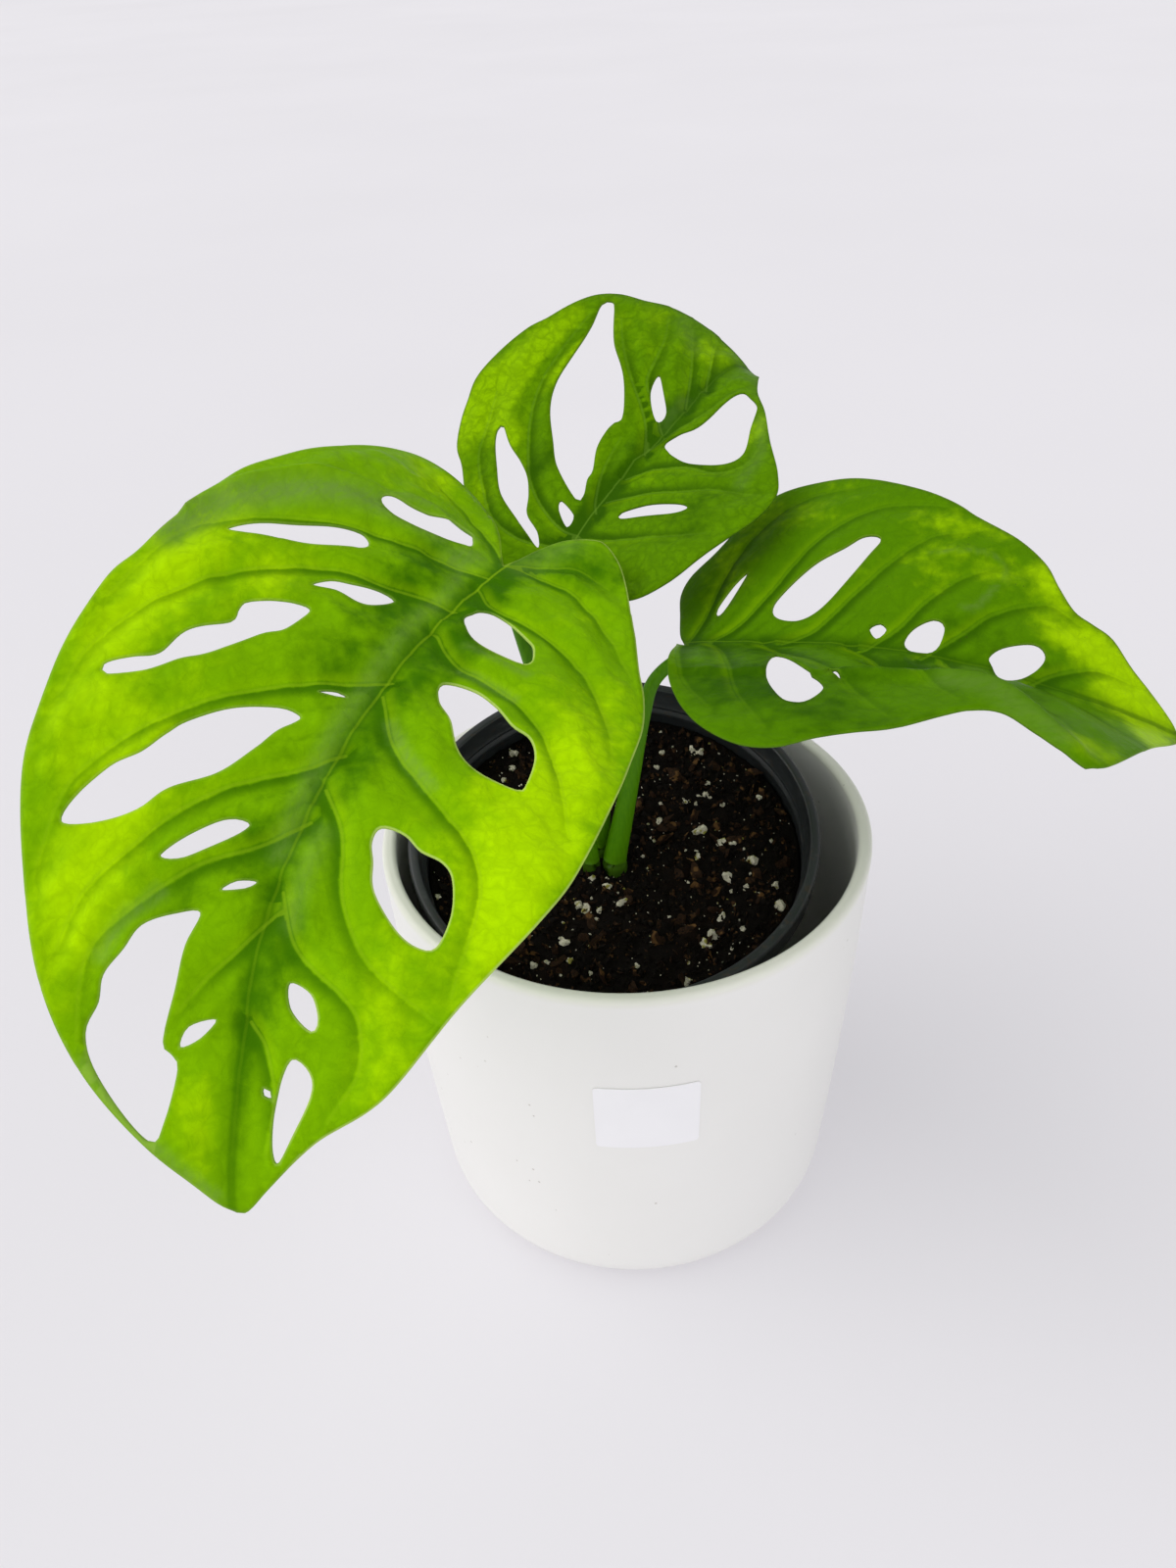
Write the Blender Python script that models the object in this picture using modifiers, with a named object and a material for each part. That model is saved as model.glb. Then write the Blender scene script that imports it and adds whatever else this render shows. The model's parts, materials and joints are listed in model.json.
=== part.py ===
"""Monstera adansonii in a black nursery pot, standing inside a round white cover pot.

Three holed leaves arch out of one clump of petioles. The nursery pot stands tipped
towards the front inside the cover pot, so the back of its rim shows above the lip.
Origin: centre of the cover pot's underside. +Z is up, the front faces -Y.
Lengths in the constants are millimetres and are turned into metres when a mesh is made.
"""

import math
import random

import bmesh
import bpy
import numpy as np
from mathutils import Matrix, Vector
from mathutils.geometry import delaunay_2d_cdt

MM = 0.001
GAP = 0.3

# cover pot, a turned ceramic cylinder with a rounded foot
COVER_HEIGHT = 140.0
COVER_RIM_RADIUS = 71.5
COVER_FOOT_RADIUS = 66.7
COVER_FOOT_ROUND = 13.0
COVER_WALL = 4.0
COVER_FLOOR = 4.2
COVER_LIP_ROUND = 1.6
COVER_BULGE = 0.8
COVER_STEPS = 52

# nursery pot, thin black plastic with a flat rolled rim, tipped forward
NURSERY_RIM_RADIUS = 60.0
NURSERY_RIM_WIDTH = 3.0
NURSERY_RIM_DEPTH = 9.0
NURSERY_BASE_RADIUS = 40.15
NURSERY_FOOT_ROUND = 1.6
NURSERY_WALL = 1.2
NURSERY_RIDGE_DEPTHS = (7.0, 9.6)
NURSERY_TILT = math.radians(12.0)
NURSERY_RIM_CENTRE = Vector((-3.7, -3.7, 141.0))
NURSERY_STEPS = 44
DRAIN_HOLE_COUNT = 8
DRAIN_HOLE_RADIUS = 4.5
DRAIN_RING_RADIUS = 27.0

# soil in the nursery pot
SOIL_DEPTH = 13.0
SOIL_RINGS = 9
SOIL_STEPS = 44
SOIL_RELIEF = 1.1

# paper label on the front of the cover pot, left blank
LABEL_WIDTH = 29.0
LABEL_LOW = 79.0
LABEL_HIGH = 105.5
LABEL_ANGLE = math.radians(1.1)
LABEL_THICKNESS = 0.25
LABEL_GAP = 0.1
LABEL_COLUMNS = 12

# leaf blades
BLADE_THICKNESS = 0.8
BLADE_EDGE_STEP = 4.0
BLADE_INNER_STEP = 9.0
MIDRIB_ROUND = 3.0
LOBE_REACH = 15.0

# Each leaf has a midrib, a cubic Bezier from the petiole to the tip. A place on the blade
# is (u, v): u runs along the midrib from the petiole and v runs across it. The blade leaves
# the midrib with a fold (slope) and bends down with a droop, both given along u as
# (u, fold, droop). Roll turns the blade about its midrib, given as (u, degrees).
# lobe_bend is (u where it starts, bend on the +v side, bend on the -v side).
LEAF_LEFT = {
    "midrib": [(-29, 4, 222), (-42, -25, 224), (-78, -95, 230), (-79, -141, 168)],
    "roll": [(0, -24), (174, -5)],
    "plus": [(0, 0.13, 0.21), (174, 0.13, 0.21)],
    "minus": [(0, 0.24, 0.14), (174, 0.24, 0.14)],
    "lobe_bend": (20, -0.15, 0.3),
    "margin_plus": [
        (0, 0), (-12, 2), (-22, 6), (-25.5, 14), (-20, 23), (-6, 34), (10, 44), (27, 52.5),
        (55, 56), (85, 55.5), (106, 51), (129, 40), (150, 28), (160, 14), (168, 6), (174, 0)],
    "margin_minus": [
        (0, 0), (-10, -8), (-21, -19), (-25.5, -30), (-20, -42), (-6, -49), (15, -55), (40, -59.5),
        (70, -61), (94, -57.5), (117, -48.5), (140, -34.5), (157, -19), (168, -6), (174, 0)],
    "holes": [
        [(-2, -10), (-3, -15), (1, -22), (11, -33), (10, -24), (4, -15)],
        [(24, -25), (25, -30), (33, -40), (44, -50), (40, -40), (30, -27)],
        [(34, -12), (35, -17), (41, -25), (45, -27), (43, -21), (39, -13)],
        [(52, -22), (53, -29), (60, -36), (72, -43), (82, -51), (83, -46), (75, -38), (66, -30),
         (57, -23)],
        [(66, -5), (65.6, -8), (68, -11), (67.4, -7.5)],
        [(75, -10), (77, -20), (86, -30), (97, -38), (108, -44), (110, -41), (104, -30),
         (94, -21), (83, -12)],
        [(101, -10), (101, -15), (108, -21), (112, -24), (110, -18), (105, -12)],
        [(111, -5), (112, -8), (115, -10), (114, -6)],
        [(120, -13), (121, -19), (129, -25), (139, -28), (147, -27), (155, -21), (159, -15.5),
         (155, -12.6), (148, -11), (142, -15), (133, -15), (125, -14)],
        [(138, -6), (139, -9), (143, -11), (143, -9), (140, -6)],
        [(25, 3), (19, 6), (18, 11), (24, 19), (30, 23), (34, 18), (32, 9)],
        [(51, 10), (48, 17), (52, 24), (57, 34), (68, 38), (74, 35), (71, 25), (63, 17), (55, 11)],
        [(93, 15), (95, 23), (101, 32), (111, 35), (119, 32), (117, 25), (109, 18), (99, 14)],
        [(129, 6), (130, 11), (136, 14), (139, 12), (135, 8)],
        [(144, 9), (146, 12), (153, 13), (160, 10), (164, 7), (157, 6), (149, 7)],
        [(150, 3.8), (150.6, 5.4), (152, 5.6), (151.6, 4.2)]],
}
LEAF_BACK = {
    "midrib": [(-10, 44, 209), (24, 83, 236), (55, 108, 258), (56, 112, 206)],
    "roll": [(0, 0), (60, 10), (84, 14), (108, 30)],
    "plus": [(0, 0.3, 0.12), (60, 0.3, 0.12), (84, 0.3, 0.2), (108, 0.1, 1.6)],
    "minus": [(0, 0.2, 0.15), (84, 0.2, 0.2), (108, 0.1, 1.2)],
    "lobe_bend": (10, 0.1, 0.1),
    "margin_plus": [
        (0, 0), (-6, 6), (-8.5, 18), (-6, 30), (1, 41), (12, 51), (24, 57), (38, 59), (51, 56),
        (61, 51.5), (69, 44), (76, 35), (83, 25), (90, 15), (96, 7), (102, 0)],
    "margin_minus": [
        (0, 0), (-9, -6), (-15, -18), (-14.5, -30), (-6, -38), (7, -43.5), (20, -48), (33, -48),
        (42, -43), (53, -33), (64, -23.5), (72, -15), (82, -8.5), (92, -5), (102, 0)],
    "holes": [
        [(21, 42), (13, 38), (4, 30), (-4, 18), (-6, 10), (-3, 11), (3, 18), (10, 25), (18, 35)],
        [(70, 43), (62, 41), (50, 38), (38, 36), (26, 26), (16, 14), (12, 8), (17, 8), (27, 11),
         (38, 13), (44, 14), (54, 22), (63, 34)],
        [(60, 12), (55, 7), (48, 2.4), (46, 4), (50, 9), (57, 12)],
        [(40, -4), (48, -8), (57, -10), (66, -11), (66, -17), (57, -24), (46, -29), (39, -25),
         (36, -15)],
        [(9, 11), (8, 7), (3, 4), (3, 7), (7, 11)],
        [(11, -9), (16, -12), (20, -24), (19, -27), (14, -19)]],
}
LEAF_RIGHT = {
    "midrib": [(18, 9, 193), (55, -18, 211), (89, -37, 211), (128, -45, 194)],
    "roll": [(0, 2), (127, -2)],
    "plus": [(0, 0.45, 0.15), (127, 0.45, 0.15)],
    "minus": [(0, 0.9, 1.2), (28, 0.5, 0.6), (60, 0.45, 0.55), (86, 0.9, 1.4), (110, 0.45, 0.5),
              (127, 0.3, 0.4)],
    "lobe_bend": (10, 0.1, 0.1),
    "margin_plus": [
        (0, 0), (-5, 6), (-9.5, 15), (-10, 24), (-6, 35), (2, 49), (12, 56), (28, 59), (45, 56),
        (62, 50.5), (78, 43), (92, 34), (104, 22.5), (115, 15), (123, 9), (130, 0)],
    "margin_minus": [
        (0, 0), (6, -11), (13, -24), (22, -38), (32, -49), (44, -55.5), (56, -51), (68, -43.5),
        (79, -35.5), (88, -35), (97, -40.5), (104, -38), (111, -27), (119, -14), (130, 0)],
    "holes": [
        [(10, 24), (6, 19), (5, 12), (8, 12), (10, 19)],
        [(40, 36), (46, 35), (45, 26), (38, 12), (31, 7), (24, 10), (24, 18), (32, 29)],
        [(52, 6), (54, 8), (56, 7), (55, 4), (53, 4)],
        [(61, 3), (62, 8), (67, 12), (69, 9), (69, 4), (65, 2)],
        [(81, 4), (84, 9), (91, 12), (95, 8), (91, 1), (86, -2), (82, 1)],
        [(36, -22), (35, -16), (42, -19), (51, -28), (52, -34), (48, -39), (42, -33)],
        [(50, -20), (51.6, -22.8), (54, -25), (52.8, -22.2)]],
}

# petioles: foot on the soil, points on the way up, and radius at foot and tip
PETIOLE_ROOT = 24.0
PETIOLES = {
    "petiole_left": {
        "foot": (-10.6, -6.4), "radii": (2.6, 1.7), "leaf": LEAF_LEFT,
        "bend": [(-11.6, -5.4, 140), (-16.7, -3.1, 167), (-23, -0.7, 191.5), (-27.2, 2.5, 209)]},
    "petiole_back": {
        "foot": (-6.6, -2.4), "radii": (2.3, 1.6), "leaf": LEAF_BACK,
        "bend": [(-6.2, 1.5, 143), (-6.4, 10, 166), (-8, 22, 187)]},
    "petiole_right": {
        "foot": (-4.2, -8.4), "radii": (3.3, 1.8), "leaf": LEAF_RIGHT,
        "bend": [(0.2, -5, 141), (3.2, -0.9, 157), (6.3, 3.5, 174), (9.6, 6.4, 184)]},
}
PETIOLE_SEAT = 9.0
PETIOLE_TIP_RADIUS = 1.0
PETIOLE_POINTS = 20


def clear_scene():
    """Remove every object, so that the script can run again in an open file."""
    for old in list(bpy.data.objects):
        bpy.data.objects.remove(old, do_unlink=True)


def make_material(name, colour, roughness, metallic=0.0):
    """A plain Principled material in the part's own colour."""
    material = bpy.data.materials.new(name)
    material.use_nodes = True
    shader = material.node_tree.nodes["Principled BSDF"]
    shader.inputs["Base Color"].default_value = (*colour, 1.0)
    shader.inputs["Roughness"].default_value = roughness
    shader.inputs["Metallic"].default_value = metallic
    material.diffuse_color = (*colour, 1.0)
    return material


def add_object(name, mesh, material, collection):
    """Link a mesh as a named, smooth-shaded object with one material."""
    mesh.shade_smooth()
    mesh.set_sharp_from_angle(angle=math.radians(40))
    thing = bpy.data.objects.new(name, mesh)
    collection.objects.link(thing)
    if material:
        mesh.materials.append(material)
    return thing


def arc(centre_r, centre_z, radius, start, end, count):
    """Points of a profile arc in the r-z plane, with angles in degrees."""
    points = []
    for i in range(count + 1):
        angle = math.radians(start + (end - start) * i / count)
        points.append((centre_r + radius * math.cos(angle), centre_z + radius * math.sin(angle)))
    return points


def turn(name, profile, steps, material, collection):
    """Turn a profile about Z with a Screw modifier: down the outside, then up the inside."""
    mesh = bpy.data.meshes.new(name)
    vertices = [(r * MM, 0.0, z * MM) for r, z in profile]
    edges = [(i, i + 1) for i in range(len(vertices) - 1)]
    mesh.from_pydata(vertices, edges, [])
    thing = add_object(name, mesh, material, collection)
    screw = thing.modifiers.new("turn", "SCREW")
    screw.axis = "Z"
    screw.angle = math.tau
    screw.steps = steps
    screw.render_steps = steps
    screw.use_merge_vertices = True
    screw.merge_threshold = 0.00002
    screw.use_smooth_shade = True
    return thing


def cut(thing, cutter):
    """Take a closed cutter out of an object."""
    boolean = thing.modifiers.new("cut " + cutter.name, "BOOLEAN")
    boolean.operation = "DIFFERENCE"
    boolean.solver = "EXACT"
    boolean.object = cutter


def add_cutter(name, mesh, collection):
    """A cutter is hidden from renders and drawn as wire."""
    cutter = bpy.data.objects.new(name, mesh)
    collection.objects.link(cutter)
    cutter.hide_render = True
    cutter.display_type = "WIRE"
    return cutter


def cylinder_mesh(name, radius, height, segments):
    """A closed cylinder standing on z = 0, in metres."""
    shape = bmesh.new()
    bmesh.ops.create_cone(
        shape, cap_ends=True, segments=segments, radius1=radius, radius2=radius, depth=height)
    bmesh.ops.translate(shape, verts=shape.verts, vec=(0, 0, height / 2))
    mesh = bpy.data.meshes.new(name)
    shape.to_mesh(mesh)
    shape.free()
    return mesh


def cover_radius(z):
    """Outer radius of the cover pot's wall at height z, with its faint bulge."""
    low = COVER_FOOT_ROUND
    high = COVER_HEIGHT - COVER_LIP_ROUND
    t = min(max((z - low) / (high - low), 0.0), 1.0)
    straight = COVER_FOOT_RADIUS + (COVER_RIM_RADIUS - COVER_FOOT_RADIUS) * t
    return straight + COVER_BULGE * math.sin(math.pi * t)


def make_cover_pot(material, collection):
    """Ceramic cylinder: rounded lip, straight wall, rounded foot and flat base."""
    lip = COVER_LIP_ROUND
    top = COVER_HEIGHT - lip
    inner_round = COVER_FOOT_ROUND - COVER_WALL
    outside = arc(COVER_RIM_RADIUS - lip, top, lip, 90, 0, 3)
    wall_heights = [top + (COVER_FOOT_ROUND - top) * i / 4 for i in range(1, 4)]
    outside += [(cover_radius(z), z) for z in wall_heights]
    outside += arc(COVER_FOOT_RADIUS - COVER_FOOT_ROUND, COVER_FOOT_ROUND, COVER_FOOT_ROUND,
                   0, -90, 6)
    inner_foot = COVER_FOOT_RADIUS - COVER_WALL - inner_round
    inside = arc(inner_foot, COVER_FLOOR + inner_round, inner_round, -90, 0, 4)
    inside += [(cover_radius(z) - COVER_WALL, z) for z in reversed(wall_heights)]
    inside += arc(COVER_RIM_RADIUS - COVER_WALL + lip, top, lip, 180, 90, 3)
    profile = outside + [(0.0, 0.0), (0.0, COVER_FLOOR)] + inside
    profile.append(profile[0])
    return turn("cover_pot", profile, COVER_STEPS, material, collection)


def nursery_height():
    """Height at which the tipped pot's front lower edge stands on the cover pot's floor."""
    drop = NURSERY_RIM_CENTRE.z - COVER_FLOOR - GAP
    flat = NURSERY_BASE_RADIUS - NURSERY_FOOT_ROUND
    edge = flat * math.sin(NURSERY_TILT) + NURSERY_FOOT_ROUND * (1 - math.cos(NURSERY_TILT))
    return (drop - edge) / math.cos(NURSERY_TILT)


def nursery_matrix():
    """Place of the nursery pot: its own z = 0 is the middle of its underside."""
    turned = Matrix.Rotation(NURSERY_TILT, 4, "X")
    base = NURSERY_RIM_CENTRE - turned @ Vector((0, 0, nursery_height()))
    return Matrix.Translation(base * MM) @ turned


def nursery_inner_radius(z):
    """Radius of the inside of the nursery pot's wall at height z above its underside."""
    top = nursery_height() - NURSERY_RIM_WIDTH
    inner_top = NURSERY_RIM_RADIUS - NURSERY_RIM_WIDTH
    inner_base = NURSERY_BASE_RADIUS - NURSERY_WALL
    return inner_base + (inner_top - inner_base) * z / top


def make_nursery_pot(material, collection, cutters):
    """Thin tapered pot with a turned-down rim, two ridges inside and drain holes."""
    height = nursery_height()
    rim_low = height - NURSERY_RIM_DEPTH
    base = NURSERY_BASE_RADIUS
    round_r = NURSERY_FOOT_ROUND
    outside = arc(NURSERY_RIM_RADIUS - 1.0, height - 1.0, 1.0, 90, 0, 2)
    outside += [(NURSERY_RIM_RADIUS - 0.4, rim_low)]
    outside += [(nursery_inner_radius(rim_low) + NURSERY_WALL, rim_low)]
    outside += [(nursery_inner_radius(z) + NURSERY_WALL, z) for z in (height * 0.5,)]
    outside += arc(base - round_r, round_r, round_r, 0, -90, 2)
    inside = [(base - NURSERY_WALL - 0.6, NURSERY_WALL), (nursery_inner_radius(4.0), 4.0)]
    for depth in sorted(NURSERY_RIDGE_DEPTHS, reverse=True):
        z = height - depth
        r = nursery_inner_radius(z)
        inside += [(r, z - 0.7), (r - 0.5, z), (r, z + 0.7)]
    inside += [(NURSERY_RIM_RADIUS - NURSERY_RIM_WIDTH, height - 0.8)]
    inside += [(NURSERY_RIM_RADIUS - NURSERY_RIM_WIDTH + 0.8, height)]
    profile = outside + [(0.0, 0.0), (0.0, NURSERY_WALL)] + inside
    profile.append(profile[0])
    pot = turn("nursery_pot", profile, NURSERY_STEPS, material, collection)
    pot.matrix_world = nursery_matrix()
    drains = bmesh.new()
    for i in range(DRAIN_HOLE_COUNT):
        angle = math.tau * (i + 0.5) / DRAIN_HOLE_COUNT
        made = bmesh.ops.create_cone(
            drains, cap_ends=True, segments=12, radius1=DRAIN_HOLE_RADIUS * MM,
            radius2=DRAIN_HOLE_RADIUS * MM, depth=6 * MM)
        place = Vector((math.cos(angle), math.sin(angle), 0)) * DRAIN_RING_RADIUS * MM
        bmesh.ops.translate(drains, verts=made["verts"], vec=place)
    mesh = bpy.data.meshes.new("drain_holes")
    drains.to_mesh(mesh)
    drains.free()
    cutter = add_cutter("drain_holes", mesh, cutters)
    cutter.matrix_world = nursery_matrix()
    cut(pot, cutter)
    return pot


def soil_relief(x, y):
    """Small rise and fall of loose soil, in mm, from a few crossing waves."""
    waves = math.sin(x * 0.31 + 0.8) * math.cos(y * 0.27 - 0.4)
    waves += 0.6 * math.sin(x * 0.73 - y * 0.55 + 2.0)
    waves += 0.4 * math.cos(x * 0.95 + y * 1.1 + 1.0)
    return SOIL_RELIEF * waves / 2.0


def make_soil(material, collection, cutters):
    """Soil filling the nursery pot, crumbly on top, with a plain hole for each petiole."""
    level = nursery_height() - SOIL_DEPTH
    floor = NURSERY_WALL + GAP
    random.seed(5)
    heights = {}
    shape = bmesh.new()
    top_centre = shape.verts.new((0, 0, (level + soil_relief(0, 0)) * MM))
    rings = []
    for ring in range(1, SOIL_RINGS + 1):
        share = ring / SOIL_RINGS
        radius = (nursery_inner_radius(level) - GAP - 0.35) * share
        row = []
        for step in range(SOIL_STEPS):
            angle = math.tau * (step + 0.5 * (ring % 2)) / SOIL_STEPS
            x = radius * math.cos(angle)
            y = radius * math.sin(angle)
            crumb = random.uniform(-0.5, 0.5) * share if ring < SOIL_RINGS else 0.0
            heights[(ring, step)] = soil_relief(x, y) * min(1.0, 4 * (1 - share)) + crumb
            row.append(shape.verts.new((x * MM, y * MM, (level + heights[(ring, step)]) * MM)))
        rings.append(row)
    for z in (level * 0.5, floor):
        radius = nursery_inner_radius(z) - GAP - (1.2 if z == floor else 0.1)
        row = []
        for step in range(SOIL_STEPS):
            angle = math.tau * (step + 0.5) / SOIL_STEPS
            row.append(shape.verts.new(
                (radius * math.cos(angle) * MM, radius * math.sin(angle) * MM, z * MM)))
        rings.append(row)
    bottom_centre = shape.verts.new((0, 0, floor * MM))
    for step in range(SOIL_STEPS):
        after = (step + 1) % SOIL_STEPS
        shape.faces.new((top_centre, rings[0][step], rings[0][after]))
        for inner, outer in zip(rings, rings[1:]):
            shape.faces.new((inner[step], outer[step], outer[after], inner[after]))
        shape.faces.new((rings[-1][step], bottom_centre, rings[-1][after]))
    bmesh.ops.triangulate(shape, faces=shape.faces)
    bmesh.ops.recalc_face_normals(shape, faces=shape.faces)
    mesh = bpy.data.meshes.new("soil")
    shape.to_mesh(mesh)
    shape.free()
    soil = add_object("soil", mesh, material, collection)
    soil.matrix_world = nursery_matrix()
    for name, petiole in PETIOLES.items():
        radius = petiole["radii"][0] + GAP + 0.05
        hole = cylinder_mesh("hole_" + name, radius * MM, (PETIOLE_ROOT + 25) * MM, 16)
        cutter = add_cutter("hole_" + name, hole, cutters)
        foot = petiole_foot(petiole)
        cutter.location = (foot - Vector((0, 0, PETIOLE_ROOT + GAP))) * MM
        cut(soil, cutter)
    return soil


def petiole_foot(petiole):
    """Where a petiole comes out of the tipped soil surface, in mm."""
    x, y = petiole["foot"]
    place = nursery_matrix()
    normal = place.to_3x3() @ Vector((0, 0, 1))
    middle = (place @ Vector((0, 0, (nursery_height() - SOIL_DEPTH) * MM))) / MM
    z = middle.z - ((x - middle.x) * normal.x + (y - middle.y) * normal.y) / normal.z
    return Vector((x, y, z))


def along(keys, u, column):
    """Read a value given at a few places along u, with a smooth run between them."""
    places = np.array([key[0] for key in keys], float)
    values = np.array([key[column] for key in keys], float)
    u = np.clip(u, places[0], places[-1])
    i = np.clip(np.searchsorted(places, u) - 1, 0, len(places) - 2)
    t = (u - places[i]) / (places[i + 1] - places[i])
    t = t * t * (3 - 2 * t)
    return values[i] + (values[i + 1] - values[i]) * t


def bezier(points, t):
    """Cubic Bezier curve through its first and last point."""
    a, b, c, d = (np.array(p, float) for p in points)
    t = np.asarray(t, float)[..., None]
    return (1 - t) ** 3 * a + 3 * (1 - t) ** 2 * t * b + 3 * (1 - t) * t ** 2 * c + t ** 3 * d


def bezier_tangent(points, t):
    """Unit direction of travel along a cubic Bezier curve."""
    a, b, c, d = (np.array(p, float) for p in points)
    t = np.asarray(t, float)[..., None]
    slope = (1 - t) ** 2 * (b - a) + 2 * (1 - t) * t * (c - b) + t ** 2 * (d - c)
    return slope / np.linalg.norm(slope, axis=-1, keepdims=True)


def blade_point(leaf, u, v):
    """Places in mm on the middle surface of a leaf blade, for arrays of u and v."""
    u = np.asarray(u, float)
    v = np.asarray(v, float)
    steps = np.linspace(0, 1, 401)
    line = bezier(leaf["midrib"], steps)
    lengths = np.concatenate(([0.0], np.cumsum(np.linalg.norm(np.diff(line, axis=0), axis=1))))
    inside = np.clip(u, 0, lengths[-1])
    t = np.interp(inside, lengths, steps)
    forward = bezier_tangent(leaf["midrib"], t)
    spine = bezier(leaf["midrib"], t) + forward * (u - inside)[..., None]
    up = np.array([0.0, 0.0, 1.0])
    normal = up - forward * (forward @ up)[..., None]
    normal /= np.linalg.norm(normal, axis=-1, keepdims=True)
    across = np.cross(normal, forward)
    roll = np.radians(along(leaf["roll"], inside, 1))
    cos = np.cos(roll)[..., None]
    sin = np.sin(roll)[..., None]
    across, normal = across * cos + normal * sin, normal * cos - across * sin
    plus = v > 0
    fold = np.where(plus, along(leaf["plus"], inside, 1), along(leaf["minus"], inside, 1))
    droop = np.where(plus, along(leaf["plus"], inside, 2), along(leaf["minus"], inside, 2))
    height = fold * (np.hypot(v, MIDRIB_ROUND) - MIDRIB_ROUND) - droop * v * v / 100
    start, bend_plus, bend_minus = leaf["lobe_bend"]
    behind = np.clip(start - u, 0, None)
    bend = np.where(plus, bend_plus, bend_minus) * np.clip(np.abs(v) / LOBE_REACH, 0, 1)
    height = height - bend * behind * behind / 100
    return spine + across * v[..., None] + normal * height[..., None]


def smooth_line(points, closed, step):
    """Catmull-Rom line through the points, cut into pieces of about one step."""
    count = len(points)
    pts = [Vector(p) for p in points]
    spans = count if closed else count - 1
    line = []
    for i in range(spans):
        if closed:
            p0, p1, p2, p3 = (pts[(i + k) % count] for k in (-1, 0, 1, 2))
        else:
            p1 = pts[i]
            p2 = pts[i + 1]
            p0 = pts[i - 1] if i > 0 else p1 * 2 - p2
            p3 = pts[i + 2] if i + 2 < count else p2 * 2 - p1
        pieces = max(1, round((p2 - p1).length / step))
        for k in range(pieces):
            t = k / pieces
            near = p1 * 2 + (p2 - p0) * t
            bend = (p0 * 2 - p1 * 5 + p2 * 4 - p3) * t * t
            far = (p1 * 3 - p0 - p2 * 3 + p3) * t * t * t
            line.append((near + bend + far) / 2)
    if not closed:
        line.append(pts[-1])
    return line


def leaf_loops(leaf, step):
    """Outer margin and hole edges of a blade as closed loops in (u, v)."""
    plus = smooth_line(leaf["margin_plus"], False, step)
    minus = smooth_line(leaf["margin_minus"], False, step)
    margin = plus[:-1] + list(reversed(minus))[:-1]
    holes = [smooth_line(hole, True, step) for hole in leaf["holes"]]
    return [margin] + holes


def inside_loop(point, loop):
    """True where a point lies inside a closed loop, by counting crossings."""
    crossed = False
    for a, b in zip(loop, loop[1:] + loop[:1]):
        if (a.y > point.y) != (b.y > point.y):
            if point.x < a.x + (point.y - a.y) * (b.x - a.x) / (b.y - a.y):
                crossed = not crossed
    return crossed


def on_blade(point, loops):
    """True where a point lies in the margin and in no hole."""
    return inside_loop(point, loops[0]) and not any(inside_loop(point, h) for h in loops[1:])


def inner_points(loops, step):
    """Even rows of points on the blade, kept clear of its edges."""
    edge = [p for loop in loops for p in loop]
    low_u = min(p.x for p in loops[0])
    high_u = max(p.x for p in loops[0])
    low_v = min(p.y for p in loops[0])
    high_v = max(p.y for p in loops[0])
    points = []
    row = 0
    u = low_u
    while u < high_u:
        v = low_v + (step / 2 if row % 2 else 0)
        while v < high_v:
            spot = Vector((u, v))
            clear = all((spot - p).length > step * 0.45 for p in edge)
            if clear and on_blade(spot, loops):
                points.append(spot)
            v += step
        u += step * 0.87
        row += 1
    u = 6.0
    while u < high_u - 4:
        spot = Vector((u, 0.0))
        if all((spot - p).length > 2.5 for p in edge + points):
            points.append(spot)
        u += step
    return points


def make_leaf(name, leaf, material, collection):
    """One blade: its outline and holes, filled with triangles, bent and given thickness."""
    loops = leaf_loops(leaf, BLADE_EDGE_STEP)
    flat = []
    edges = []
    for loop in loops:
        start = len(flat)
        flat += loop
        edges += [(start + i, start + (i + 1) % len(loop)) for i in range(len(loop))]
    flat += inner_points(loops, BLADE_INNER_STEP)
    points, _, triangles, _, _, _ = delaunay_2d_cdt(flat, edges, [], 1, 0.0001)
    kept = []
    for triangle in triangles:
        middle = sum((points[i] for i in triangle), Vector((0, 0))) / 3
        if on_blade(middle, loops):
            kept.append(tuple(triangle))
    u = np.array([p.x for p in points])
    v = np.array([p.y for p in points])
    mesh = bpy.data.meshes.new(name)
    mesh.from_pydata((blade_point(leaf, u, v) * MM).tolist(), [], kept)
    shape = bmesh.new()
    shape.from_mesh(mesh)
    bmesh.ops.delete(shape, geom=[p for p in shape.verts if not p.link_faces], context="VERTS")
    bmesh.ops.recalc_face_normals(shape, faces=shape.faces)
    shape.to_mesh(mesh)
    shape.free()
    thing = add_object(name, mesh, material, collection)
    thick = thing.modifiers.new("thickness", "SOLIDIFY")
    thick.thickness = BLADE_THICKNESS * MM
    thick.offset = 0.0
    return thing


def under_midrib(leaf, u, depth):
    """A place below the midrib of a blade, depth mm down from its middle surface."""
    here = blade_point(leaf, np.array([u, u + 1.0, u, u]), np.array([0.0, 0.0, 1.0, -1.0]))
    normal = np.cross(here[1] - here[0], here[2] - here[3])
    normal = normal / np.linalg.norm(normal)
    if normal[2] < 0:
        normal = -normal
    return Vector(here[0] - normal * depth)


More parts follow.
